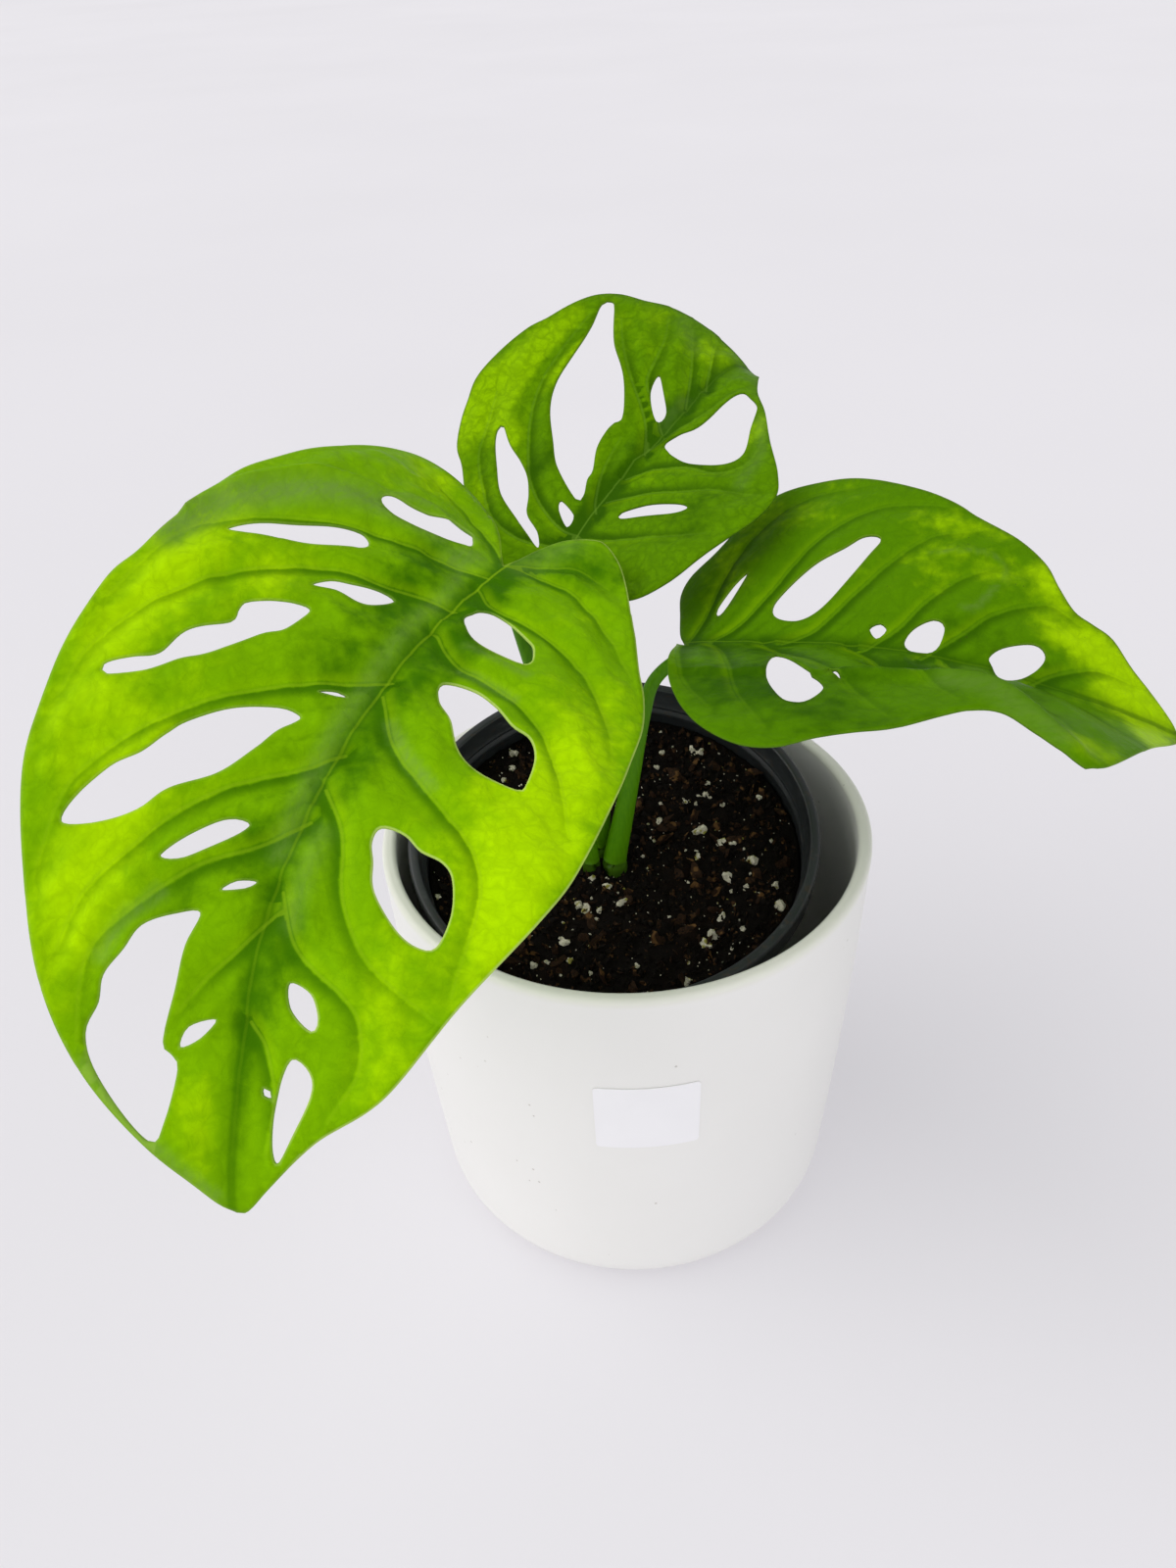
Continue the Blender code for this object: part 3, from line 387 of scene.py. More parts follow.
# %% [markdown]
# ## Shader maths in plain Python
#
# A material is a graph of nodes. Writing it as sums is easier to read than placing each
# node by hand, so a small class wraps one socket and turns +, -, *, / and abs into Math
# nodes. Every other node, here and in the Geometry Nodes further down, comes from one
# function that takes a node's type, its settings and its inputs.

# %% A small language for materials


class Wire:
    """One output socket of a material, for use in sums."""

    def __init__(self, paint, socket):
        self.paint = paint
        self.socket = socket

    def __add__(self, other):
        return self.paint.maths("ADD", self, other)

    __radd__ = __add__

    def __sub__(self, other):
        return self.paint.maths("SUBTRACT", self, other)

    def __rsub__(self, other):
        return self.paint.maths("SUBTRACT", other, self)

    def __mul__(self, other):
        return self.paint.maths("MULTIPLY", self, other)

    __rmul__ = __mul__

    def __truediv__(self, other):
        return self.paint.maths("DIVIDE", self, other)

    def __rtruediv__(self, other):
        return self.paint.maths("DIVIDE", other, self)

    def __abs__(self):
        return self.paint.node("ShaderNodeMath", {"operation": "ABSOLUTE"}, {0: self})


def feed(tree, socket, value):
    """Give a socket a wire, another node's socket or a plain value."""
    source = value.socket if isinstance(value, Wire) else value
    if isinstance(source, bpy.types.NodeSocket):
        tree.links.new(source, socket)
    else:
        socket.default_value = source


def add_node(tree, kind, settings=None, inputs=None):
    """Add any node: its type, its settings, and its inputs by name or number."""
    made = tree.nodes.new(kind)
    for key, value in (settings or {}).items():
        setattr(made, key, value)
    for key, value in (inputs or {}).items():
        feed(tree, made.inputs[key], value)
    return made.outputs


class Paint:
    """A Principled material and the handful of nodes that the finishes here are made of."""

    def __init__(self, name, constants=None):
        self.material = bpy.data.materials.new(name)
        self.material.use_nodes = True
        self.tree = self.material.node_tree
        self.shader = self.tree.nodes["Principled BSDF"]
        for key, value in (constants or {}).items():
            self.shader.inputs[key].default_value = value

    def node(self, kind, settings=None, inputs=None, output=0):
        """Any node, as a wire from one of its outputs."""
        return Wire(self, add_node(self.tree, kind, settings, inputs)[output])

    def maths(self, operation, first, second):
        """A Math node on two values or wires."""
        return self.node("ShaderNodeMath", {"operation": operation}, {0: first, 1: second})

    def place(self):
        """Object coordinates, in metres."""
        return self.node("ShaderNodeTexCoord", output="Object")

    def value(self, name):
        """A number stored on the mesh."""
        return self.node("ShaderNodeAttribute", {"attribute_name": name}, output="Fac")

    def join(self, x, y, z=0.0):
        """Three numbers as one vector."""
        return self.node("ShaderNodeCombineXYZ", inputs={0: x, 1: y, 2: z})

    def axis(self, vector, letter):
        """One number out of a vector."""
        return self.node("ShaderNodeSeparateXYZ", inputs={0: vector}, output=letter)

    def scaled(self, vector, x, y, z):
        """A vector stretched along its axes."""
        return self.node("ShaderNodeVectorMath", {"operation": "MULTIPLY"},
                         {0: vector, 1: (x, y, z)})

    def noise(self, place, scale, detail=3.0, roughness=0.55, output=0):
        """Soft clouds from 0 to 1, or three of them as a colour from output 1."""
        inputs = {"Vector": place, "Scale": scale, "Detail": detail, "Roughness": roughness}
        return self.node("ShaderNodeTexNoise", {}, inputs, output)

    def cells(self, place, scale, feature="DISTANCE_TO_EDGE"):
        """Voronoi cells: the distance to a cell's edge, or to its middle."""
        inputs = {"Vector": place, "Scale": scale}
        return self.node("ShaderNodeTexVoronoi", {"feature": feature}, inputs, "Distance")

    def step(self, value, low, high, start=0.0, end=1.0):
        """A smooth run from start to end while the value goes from low to high."""
        inputs = {"Value": value, "From Min": low, "From Max": high, "To Min": start,
                  "To Max": end}
        return self.node("ShaderNodeMapRange", {"interpolation_type": "SMOOTHSTEP"}, inputs)

    def mix(self, share, first, second):
        """Two colours mixed by a share."""
        inputs = {0: share, 6: as_colour(first), 7: as_colour(second)}
        return self.node("ShaderNodeMix", {"data_type": "RGBA"}, inputs, 2)

    def bump(self, height, depth_mm, strength=1.0, under=None):
        """Raise the surface's normals by a height from 0 to 1, depth_mm deep."""
        inputs = {"Height": height, "Distance": depth_mm * MM, "Strength": strength}
        if under:
            inputs["Normal"] = under
        return self.node("ShaderNodeBump", {}, inputs)

    def finish(self, colour, roughness, normal):
        """Connect the finish to the shader."""
        for name, value in (("Base Color", colour), ("Roughness", roughness), ("Normal", normal)):
            feed(self.tree, self.shader.inputs[name], value)
        return self.material


def as_colour(value):
    """A colour of three numbers gets its alpha, and a wire stays as it is."""
    return value if isinstance(value, Wire) else (*value, 1.0)


print("shader helpers ready")

# %% [markdown]
# ## Making pieces
#
# A finished piece sits at the origin with its place in its mesh, rides on the one body and
# says which plain node it stands for. These few helpers do that for every piece, so the
# cells below only hold the shapes.

# %% Helpers for pieces


def new_piece(name, mesh, material=None):
    """Link a mesh as a smooth object at the origin."""
    mesh.shade_smooth()
    if material:
        mesh.materials.append(material)
    return new_object(name, mesh)


def open_mesh(mesh):
    """A mesh opened as a bmesh, to be worked on."""
    shape = bmesh.new()
    shape.from_mesh(mesh)
    return shape


def close_mesh(shape, mesh):
    """Write a bmesh into a mesh and free it."""
    shape.to_mesh(mesh)
    shape.free()
    return mesh


def apply_modifiers(thing):
    """Turn an object with modifiers into a plain mesh, with its place in the mesh."""
    view = bpy.context.evaluated_depsgraph_get()
    view.update()
    mesh = bpy.data.meshes.new_from_object(thing.evaluated_get(view), depsgraph=view)
    mesh.transform(thing.matrix_world)
    name = thing.name
    old = thing.data
    bpy.data.objects.remove(thing, do_unlink=True)
    if old.users == 0 and isinstance(old, bpy.types.Mesh):
        bpy.data.meshes.remove(old)
    return new_object(name, mesh)


def stand_for(piece, node):
    """Put a finished piece in the place of a plain CAD node."""
    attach(piece, "root")
    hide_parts(node)
    piece.data.calc_loop_triangles()
    print(piece.name, "stands for", node, "with", len(piece.data.loop_triangles), "triangles")


# %% [markdown]
# ## Turned shapes
#
# Both pots are bodies of revolution. A profile is drawn once, down the outside and up the
# inside, and a Screw modifier turns it about the pot's axis. Corners are rounded with arcs
# in the profile itself, which gives a potter's soft edges with few points.

# %% Turning a profile


def arc(centre_r, centre_z, radius, start, end, count):
    """Points of a profile arc, with angles in degrees."""
    points = []
    for i in range(count + 1):
        angle = math.radians(start + (end - start) * i / count)
        points.append((centre_r + radius * math.cos(angle), centre_z + radius * math.sin(angle)))
    return points


def turn(name, profile, steps, material):
    """Turn a closed profile about Z."""
    mesh = bpy.data.meshes.new(name)
    vertices = [(r * MM, 0.0, z * MM) for r, z in profile]
    edges = [(i, i + 1) for i in range(len(vertices) - 1)]
    mesh.from_pydata(vertices, edges, [])
    thing = new_piece(name, mesh, material)
    screw = thing.modifiers.new("turn", "SCREW")
    screw.axis = "Z"
    screw.angle = math.tau
    screw.steps = steps
    screw.render_steps = steps
    screw.use_merge_vertices = True
    screw.merge_threshold = 0.02 * MM
    screw.use_smooth_shade = True
    return thing


def cover_radius(z):
    """Outer radius of the cover pot's wall at height z, with its faint bulge."""
    low = COVER_FOOT_ROUND
    high = COVER_HEIGHT - COVER_LIP_ROUND
    t = min(max((z - low) / (high - low), 0.0), 1.0)
    straight = COVER_FOOT_RADIUS + (COVER_RIM_RADIUS - COVER_FOOT_RADIUS) * t
    return straight + COVER_BULGE * math.sin(math.pi * t)


# %% [markdown]
# ## Cover pot
#
# The real pot is cast stoneware with a creamy white satin glaze. Close up the glaze is not
# one flat white: it clouds a little, carries a few pinhead specks, and goes warmer where it
# thins over the lip and inside. Roughness and a very shallow ripple break up the highlights.

# %% Satin white glaze


def glaze_paint():
    """Cream-white satin glaze with specks and a warmer lip."""
    paint = Paint("satin_white_glaze", {"Coat Weight": 0.12, "Coat Roughness": 0.22})
    place = paint.place()
    height = paint.axis(place, "Z") / MM
    cloud = paint.noise(place, 22.0, 4.0)
    fine = paint.noise(place, 420.0, 3.0)
    white = paint.mix(cloud, (0.84, 0.83, 0.80), (0.89, 0.88, 0.86))
    lip = paint.step(height, COVER_HEIGHT - 3.2, COVER_HEIGHT - 0.6)
    white = paint.mix(lip * 0.75, white, (0.81, 0.81, 0.72))
    foot = paint.step(height, 0.0, 7.0, 1.0, 0.0)
    white = paint.mix(foot * 0.35, white, (0.60, 0.57, 0.52))
    speck = paint.cells(place, 190.0, "F1")
    dot = paint.step(speck, 0.055, 0.09, 1.0, 0.0)
    sparse = paint.step(paint.noise(place, 75.0, 1.0), 0.56, 0.62)
    white = paint.mix(dot * sparse * 0.55, white, (0.33, 0.29, 0.24))
    rough = paint.step(cloud + fine * 0.5, 0.4, 1.0, 0.36, 0.52)
    ripple = paint.bump(paint.noise(place, 55.0, 2.0), 0.25, 0.25)
    return paint.finish(white, rough, paint.bump(fine, 0.02, 0.35, ripple))


GLAZE = glaze_paint()
print(GLAZE.name, "ready")

# %% Make the cover pot


def make_cover_pot():
    """The cover pot, turned with fine steps."""
    lip = COVER_LIP_ROUND
    top = COVER_HEIGHT - lip
    inner_round = COVER_FOOT_ROUND - COVER_WALL
    walls = [top + (COVER_FOOT_ROUND - top) * i / 16 for i in range(1, 16)]
    profile = arc(COVER_RIM_RADIUS - lip, top, lip, 90, 0, 8)
    profile += [(cover_radius(z), z) for z in walls]
    profile += arc(COVER_FOOT_RADIUS - COVER_FOOT_ROUND, COVER_FOOT_ROUND, COVER_FOOT_ROUND,
                   0, -90, 14)
    profile += [(30.0, 0.0), (0.0, 0.0), (0.0, COVER_FLOOR)]
    profile += arc(COVER_FOOT_RADIUS - COVER_WALL - inner_round, COVER_FLOOR + inner_round,
                   inner_round, -90, 0, 8)
    profile += [(cover_radius(z) - COVER_WALL, z) for z in reversed(walls)]
    profile += arc(COVER_RIM_RADIUS - COVER_WALL + lip, top, lip, 180, 90, 8)
    profile.append(profile[0])
    return apply_modifiers(turn("cover_pot_glazed", profile, 160, GLAZE))


cover_pot = make_cover_pot()
stand_for(cover_pot, "cover_pot")

# %% [markdown]
# ## Paper label
#
# A small white sticker sits on the front of the pot. It is left blank. A sheet of 0.25 mm
# wraps the wall's curve, and its fibres show as a faint tooth in roughness and bump.

# %% Blank label


def paper_paint():
    """Bright coated paper with a faint tooth."""
    paint = Paint("coated_paper")
    place = paint.place()
    fibre = paint.noise(paint.scaled(place, 1.0, 1.0, 0.35), 900.0, 3.0)
    cloud = paint.noise(place, 60.0, 2.0)
    colour = paint.mix(cloud, (0.90, 0.89, 0.91), (0.95, 0.94, 0.96))
    rough = paint.step(fibre, 0.3, 0.7, 0.42, 0.58)
    return paint.finish(colour, rough, paint.bump(fibre, 0.02, 0.5))


PAPER = paper_paint()
print(PAPER.name, "ready")

# %% Make the label


def make_label():
    """A thin sheet that follows the pot, with slightly rounded corners."""
    middle = (LABEL_LOW + LABEL_HIGH) / 2
    half_width = LABEL_WIDTH / 2 - LABEL_CORNER
    half_height = (LABEL_HIGH - LABEL_LOW) / 2 - LABEL_CORNER
    sweep = LABEL_WIDTH / cover_radius(middle)
    columns = 40
    rows = 24
    shape = bmesh.new()
    grid = []
    for j in range(rows + 1):
        row = []
        for i in range(columns + 1):
            x = LABEL_WIDTH * (i / columns - 0.5)
            z = (LABEL_HIGH - LABEL_LOW) * (j / rows - 0.5)
            reach_x = abs(x) - half_width
            reach_z = abs(z) - half_height
            if reach_x > 0 and reach_z > 0:
                pull = max(1.0, math.hypot(reach_x, reach_z) / LABEL_CORNER)
                x = math.copysign(half_width + reach_x / pull, x)
                z = math.copysign(half_height + reach_z / pull, z)
            angle = LABEL_ANGLE + sweep * x / LABEL_WIDTH
            radius = cover_radius(middle + z) + 0.1
            row.append(shape.verts.new(
                (radius * math.sin(angle) * MM, -radius * math.cos(angle) * MM,
                 (middle + z) * MM)))
        grid.append(row)
    for low, high in zip(grid, grid[1:]):
        for i in range(columns):
            shape.faces.new((low[i], low[i + 1], high[i + 1], high[i]))
    label = new_piece("label_paper", close_mesh(shape, bpy.data.meshes.new("label")), PAPER)
    paper = label.modifiers.new("paper", "SOLIDIFY")
    paper.thickness = LABEL_THICKNESS * MM
    paper.offset = 1.0
    label = apply_modifiers(label)
    label.data.set_sharp_from_angle(angle=math.radians(40))
    return label


label = make_label()
stand_for(label, "blank_label")

# %% [markdown]
# ## Nursery pot
#
# A thin blow-moulded pot of black plastic. Its rim is rolled over, with two fine ridges
# inside. It stands tipped on its front lower edge and leans on the back wall. The plastic is
# satin, scuffed grey along the rim's edges and dusted with peat near the soil; here noise
# scatters the scuffs and the dust over the whole pot.

# %% Place of the tipped pot


def nursery_height():
    """Height at which the tipped pot's front lower edge stands on the cover pot's floor."""
    drop = NURSERY_RIM_CENTRE.z - COVER_FLOOR - GAP
    flat = NURSERY_BASE_RADIUS - NURSERY_FOOT_ROUND
    edge = flat * math.sin(NURSERY_TILT) + NURSERY_FOOT_ROUND * (1 - math.cos(NURSERY_TILT))
    return (drop - edge) / math.cos(NURSERY_TILT)


def nursery_matrix():
    """Place of the nursery pot: its own z = 0 is the middle of its underside."""
    turned = Matrix.Rotation(NURSERY_TILT, 4, "X")
    base = NURSERY_RIM_CENTRE - turned @ Vector((0, 0, nursery_height()))
    return Matrix.Translation(base * MM) @ turned


def nursery_inner_radius(z):
    """Radius of the inside of the nursery pot's wall at height z above its underside."""
    top = nursery_height() - NURSERY_RIM_WIDTH
    inner_top = NURSERY_RIM_RADIUS - NURSERY_RIM_WIDTH
    inner_base = NURSERY_BASE_RADIUS - NURSERY_WALL
    return inner_base + (inner_top - inner_base) * z / top


print("nursery pot", round(nursery_height(), 1), "mm tall, tipped",
      round(math.degrees(NURSERY_TILT)), "degrees")

# %% Scuffed black plastic


def plastic_paint():
    """Black satin plastic with scuffs and peat dust."""
    paint = Paint("black_moulded_plastic")
    place = paint.place()
    scuff = paint.noise(paint.scaled(place, 1.0, 1.0, 3.0), 180.0, 6.0, 0.7)
    cloud = paint.noise(place, 35.0, 3.0)
    black = paint.mix(cloud, (0.013, 0.015, 0.017), (0.030, 0.034, 0.036))
    worn = paint.step(scuff, 0.56, 0.72)
    black = paint.mix(worn * 0.5, black, (0.075, 0.080, 0.078))
    dust = paint.step(paint.noise(place, 520.0, 2.0), 0.60, 0.68)
    black = paint.mix(dust * 0.6, black, (0.045, 0.030, 0.020))
    rough = paint.step(scuff, 0.3, 0.7, 0.30, 0.50)
    skin = paint.bump(paint.noise(place, 700.0, 2.0), 0.03, 0.4)
    return paint.finish(black, rough, skin)


PLASTIC = plastic_paint()
print(PLASTIC.name, "ready")

# %% [markdown]
# The pot's wall is thin all over, so the profile runs down the outside and back up the
# inside, ridges and all. The drain holes could be left out under the soil, but they show
# from below, so a Boolean cuts them with a ring of short cylinders.

# %% Make the nursery pot


def make_nursery_pot():
    """The moulded pot, turned, pierced with drain holes and tipped."""
    height = nursery_height()
    rim_low = height - NURSERY_RIM_DEPTH
    base = NURSERY_BASE_RADIUS
    foot = NURSERY_FOOT_ROUND
    profile = arc(NURSERY_RIM_RADIUS - 1.0, height - 1.0, 1.0, 90, 0, 6)
    profile += [(NURSERY_RIM_RADIUS - 0.25, height - 5.0)]
    profile += arc(NURSERY_RIM_RADIUS - 0.8, rim_low + 0.5, 0.5, 0, -90, 4)
    profile += [(nursery_inner_radius(rim_low) + NURSERY_WALL, rim_low)]
    profile += [(nursery_inner_radius(height * f) + NURSERY_WALL, height * f)
                for f in (0.75, 0.5, 0.25)]
    profile += arc(base - foot, foot, foot, 0, -90, 5)
    profile += [(0.0, 0.0), (0.0, NURSERY_WALL)]
    profile += [(base - NURSERY_WALL - 0.6, NURSERY_WALL), (nursery_inner_radius(4.0), 4.0)]
    for depth in sorted(NURSERY_RIDGE_DEPTHS, reverse=True):
        z = height - depth
        r = nursery_inner_radius(z)
        profile += [(r, z - 1.0), (r - 0.3, z - 0.5), (r - 0.5, z), (r - 0.3, z + 0.5),
                    (r, z + 1.0)]
    profile += arc(NURSERY_RIM_RADIUS - NURSERY_RIM_WIDTH + 0.9, height - 0.9, 0.9, 180, 90, 5)
    profile.append(profile[0])
    pot = turn("nursery_pot_moulded", profile, 144, PLASTIC)
    drains = bmesh.new()
    for i in range(DRAIN_HOLE_COUNT):
        angle = math.tau * (i + 0.5) / DRAIN_HOLE_COUNT
        made = bmesh.ops.create_cone(
            drains, cap_ends=True, segments=24, radius1=DRAIN_HOLE_RADIUS * MM,
            radius2=DRAIN_HOLE_RADIUS * MM, depth=6 * MM)
        spot = Vector((math.cos(angle), math.sin(angle), 0)) * DRAIN_RING_RADIUS * MM
        bmesh.ops.translate(drains, verts=made["verts"], vec=spot)
    cutter = new_piece("drains", close_mesh(drains, bpy.data.meshes.new("drains")))
    boolean = pot.modifiers.new("drains", "BOOLEAN")
    boolean.operation = "DIFFERENCE"
    boolean.solver = "EXACT"
    boolean.object = cutter
    pot = apply_modifiers(pot)
    bpy.data.objects.remove(cutter, do_unlink=True)
    pot.data.transform(nursery_matrix())
    pot.data.set_sharp_from_angle(angle=math.radians(50))
    return pot


nursery_pot = make_nursery_pot()
stand_for(nursery_pot, "nursery_pot")

# %% [markdown]
# ## Stalks
#
# Each petiole is a tapering stalk that leans out of the clump and bends over into the
# midrib under its blade. A curve holds the route and the radius at each point, and a
# Geometry Nodes tree sweeps a slightly grooved section along it, as such stalks have a
# shallow channel on their upper side.

# %% Places on a bent blade


def along(keys, u, column):
    """Read a value given at a few places along u, with a smooth run between them."""
    places = np.array([key[0] for key in keys], float)
    values = np.array([key[column] for key in keys], float)
    u = np.clip(u, places[0], places[-1])
    i = np.clip(np.searchsorted(places, u) - 1, 0, len(places) - 2)
    t = (u - places[i]) / (places[i + 1] - places[i])
    t = t * t * (3 - 2 * t)
    return values[i] + (values[i + 1] - values[i]) * t


def bezier(points, t):
    """Cubic Bezier curve through its first and last point."""
    a, b, c, d = (np.array(p, float) for p in points)
    t = np.asarray(t, float)[..., None]
    return (1 - t) ** 3 * a + 3 * (1 - t) ** 2 * t * b + 3 * (1 - t) * t ** 2 * c + t ** 3 * d


def bezier_tangent(points, t):
    """Unit direction of travel along a cubic Bezier curve."""
    a, b, c, d = (np.array(p, float) for p in points)
    t = np.asarray(t, float)[..., None]
    slope = (1 - t) ** 2 * (b - a) + 2 * (1 - t) * t * (c - b) + t ** 2 * (d - c)
    return slope / np.linalg.norm(slope, axis=-1, keepdims=True)


# %% [markdown]
# A flat place (u, v) goes to its place in space in three moves: u walks along the midrib's
# curve, v steps sideways from it, and fold, droop and the bend of the lobes lift or lower
# that step. A lattice or cloth could bend the leaf too, but a formula gives the same shape
# each time and can be asked for any single place, such as the stalk's seat.

# %% From the flat leaf to the living one


def blade_point(leaf, u, v):
    """Places in mm on the middle surface of a blade, for arrays of u and v."""
    u = np.asarray(u, float)
    v = np.asarray(v, float)
    steps = np.linspace(0, 1, 401)
    line = bezier(leaf["midrib"], steps)
    lengths = np.concatenate(([0.0], np.cumsum(np.linalg.norm(np.diff(line, axis=0), axis=1))))
    inside = np.clip(u, 0, lengths[-1])
    t = np.interp(inside, lengths, steps)
    forward = bezier_tangent(leaf["midrib"], t)
    spine = bezier(leaf["midrib"], t) + forward * (u - inside)[..., None]
    up = np.array([0.0, 0.0, 1.0])
    normal = up - forward * (forward @ up)[..., None]
    normal /= np.linalg.norm(normal, axis=-1, keepdims=True)
    across = np.cross(normal, forward)
    roll = np.radians(along(leaf["roll"], inside, 1))
    cos = np.cos(roll)[..., None]
    sin = np.sin(roll)[..., None]
    across, normal = across * cos + normal * sin, normal * cos - across * sin
    plus = v > 0
    fold = np.where(plus, along(leaf["plus"], inside, 1), along(leaf["minus"], inside, 1))
    droop = np.where(plus, along(leaf["plus"], inside, 2), along(leaf["minus"], inside, 2))
    height = fold * (np.hypot(v, 3.0) - 3.0) - droop * v * v / 100
    start, bend_plus, bend_minus = leaf["lobe_bend"]
    behind = np.clip(start - u, 0, None)
    bend = np.where(plus, bend_plus, bend_minus) * np.clip(np.abs(v) / 15.0, 0, 1)
    height = height - bend * behind * behind / 100
    return spine + across * v[..., None] + normal * height[..., None]


def blade_normal(leaf, u, v):
    """Unit normals of the blade's upper side."""
    e = 0.5
    along_u = blade_point(leaf, u + e, v) - blade_point(leaf, u - e, v)
    along_v = blade_point(leaf, u, v + e) - blade_point(leaf, u, v - e)
    normal = np.cross(along_u, along_v)
    return normal / np.linalg.norm(normal, axis=-1, keepdims=True)


middle = blade_point(LEAF_LEFT, np.array([85.0]), np.array([0.0]))[0]
print("middle of the left leaf's midrib at", np.round(middle, 1), "mm")

# %% Routes of the stalks
BLADE_THICKNESS = 0.8
PETIOLE_ROOT = 24.0
PETIOLE_SEAT = 9.0
PETIOLE_TIP_RADIUS = 1.0
PETIOLES = {
    "petiole_left": {
        "foot": (-10.6, -6.4), "radii": (2.6, 1.7), "leaf": LEAF_LEFT,
        "bend": [(-11.6, -5.4, 140), (-16.7, -3.1, 167), (-23, -0.7, 191.5), (-27.2, 2.5, 209)]},
    "petiole_back": {
        "foot": (-7.4, -0.6), "radii": (2.3, 1.6), "leaf": LEAF_BACK,
        "bend": [(-6.2, 1.5, 143), (-6.4, 10, 166), (-8, 22, 187)]},
    "petiole_right": {
        "foot": (-3.5, -6.3), "radii": (3.7, 1.7), "leaf": LEAF_RIGHT,
        "bend": [(-1.3, -4.6, 141), (2.2, -1.0, 157), (6.0, 3.5, 174), (9.6, 6.4, 184)]},
}


print("stalks from feet at", [petiole["foot"] for petiole in PETIOLES.values()], "mm")

# %% A smooth line through a few points


def smooth_line(points, closed, step):
    """Catmull-Rom line through points, flat or in space, in pieces of about one step."""
    count = len(points)
    pts = [Vector(p) for p in points]
    line = []
    for i in range(count if closed else count - 1):
        if closed:
            p0, p1, p2, p3 = (pts[(i + k) % count] for k in (-1, 0, 1, 2))
        else:
            p1 = pts[i]
            p2 = pts[i + 1]
            p0 = pts[i - 1] if i > 0 else p1 * 2 - p2
            p3 = pts[i + 2] if i + 2 < count else p2 * 2 - p1
        pieces = max(1, round((p2 - p1).length / step))
        for k in range(pieces):
            t = k / pieces
            near = p1 * 2 + (p2 - p0) * t
            bend = (p0 * 2 - p1 * 5 + p2 * 4 - p3) * t * t
            far = (p1 * 3 - p0 - p2 * 3 + p3) * t * t * t
            line.append((near + bend + far) / 2)
    if not closed:
        line.append(pts[-1])
    return line


# %% Where a stalk runs


def petiole_foot(petiole):
    """Where a stalk comes out of the tipped soil surface, in mm."""
    x, y = petiole["foot"]
    place = nursery_matrix()
    normal = place.to_3x3() @ Vector((0, 0, 1))
    middle = (place @ Vector((0, 0, (nursery_height() - SOIL_DEPTH) * MM))) / MM
    z = middle.z - ((x - middle.x) * normal.x + (y - middle.y) * normal.y) / normal.z
    return Vector((x, y, z))


def under_midrib(leaf, u, depth):
    """A place below the midrib of a blade, depth mm down from its middle surface."""
    here = blade_point(leaf, np.array([u]), np.array([0.0]))[0]
    normal = np.cross(*(blade_point(leaf, np.array(p[0]), np.array(p[1])) -
                        blade_point(leaf, np.array(q[0]), np.array(q[1]))
                        for p, q in (((u + 1.0, 0.0), (u, 0.0)), ((u, 1.0), (u, -1.0)))))
    normal = normal / np.linalg.norm(normal)
    if normal[2] < 0:
        normal = -normal
    return Vector(here - normal * depth)


def petiole_route(petiole):
    """Points and radii of a stalk, from its root up to the underside of its blade."""
    foot = petiole_foot(petiole)
    leaf = petiole["leaf"]
    thick, thin = petiole["radii"]
    clear = BLADE_THICKNESS / 2 + GAP
    knee = under_midrib(leaf, 0.0, clear + thin + 0.1)
    end = under_midrib(leaf, PETIOLE_SEAT, clear + PETIOLE_TIP_RADIUS)
    route = [foot + Vector((0, 0, rise)) for rise in (-PETIOLE_ROOT, -8, 0, 4)]
    route += [Vector(p) for p in petiole["bend"]] + [knee, end]
    line = smooth_line(route, False, 2.0)
    radii = []
    for place in line:
        share = min(max(0.0, (place.z - foot.z) / (knee.z - foot.z)), 1.0)
        radius = thick + (thin - thick) * share ** 0.7
        near = (place - end).length / (knee - end).length
        if near < 1:
            radius = PETIOLE_TIP_RADIUS + (thin - PETIOLE_TIP_RADIUS) * near
        radii.append(radius)
    return line, radii


# %% [markdown]
# The stalk's green is streaked along its length, a little yellower low down and dark olive
# just above the soil. Noise stretched upwards gives the streaks.

# %% Stalk green


def stalk_paint():
    """Fresh green with fine lengthwise streaks."""
    paint = Paint("stalk_green", {"Specular IOR Level": 0.12})
    place = paint.place()
    height = paint.axis(place, "Z") / MM
    streak = paint.noise(paint.scaled(place, 1.0, 1.0, 0.07), 1500.0, 3.0)
    cloud = paint.noise(place, 70.0, 3.0)
    green = paint.mix(streak, (0.045, 0.170, 0.001), (0.120, 0.330, 0.001))
    green = paint.mix(cloud * 0.5, green, (0.070, 0.220, 0.001))
    low = paint.step(height, 127.0, 139.0, 1.0, 0.0)
    green = paint.mix(low * 0.45, green, (0.10, 0.24, 0.004))
    soil_line = paint.step(height, 127.0, 133.0, 1.0, 0.0)
    green = paint.mix(soil_line * 0.8, green, (0.020, 0.040, 0.004))
    rough = paint.step(streak, 0.2, 0.8, 0.34, 0.50)
    return paint.finish(green, rough, paint.bump(streak, 0.06, 0.6))


STALK = stalk_paint()
print(STALK.name, "ready")

# %% [markdown]
# A Geometry Nodes tree is a recipe that Blender follows for each object it is put on. Its
# named inputs are this recipe's sizes. Every tree here ends in the same way: what it holds
# is made real and given its material, and the result is kept as a plain mesh.

# %% Helpers for Geometry Nodes


def new_tree(name, inputs):
    """A Geometry Nodes tree with named inputs, and the sockets that they come in by."""
    tree = bpy.data.node_groups.new(name, "GeometryNodeTree")
    for label, kind in (("Geometry", "Geometry"), *inputs):
        tree.interface.new_socket(label, in_out="INPUT", socket_type="NodeSocket" + kind)
    tree.interface.new_socket("Geometry", in_out="OUTPUT", socket_type="NodeSocketGeometry")
    return tree, add_node(tree, "NodeGroupInput")


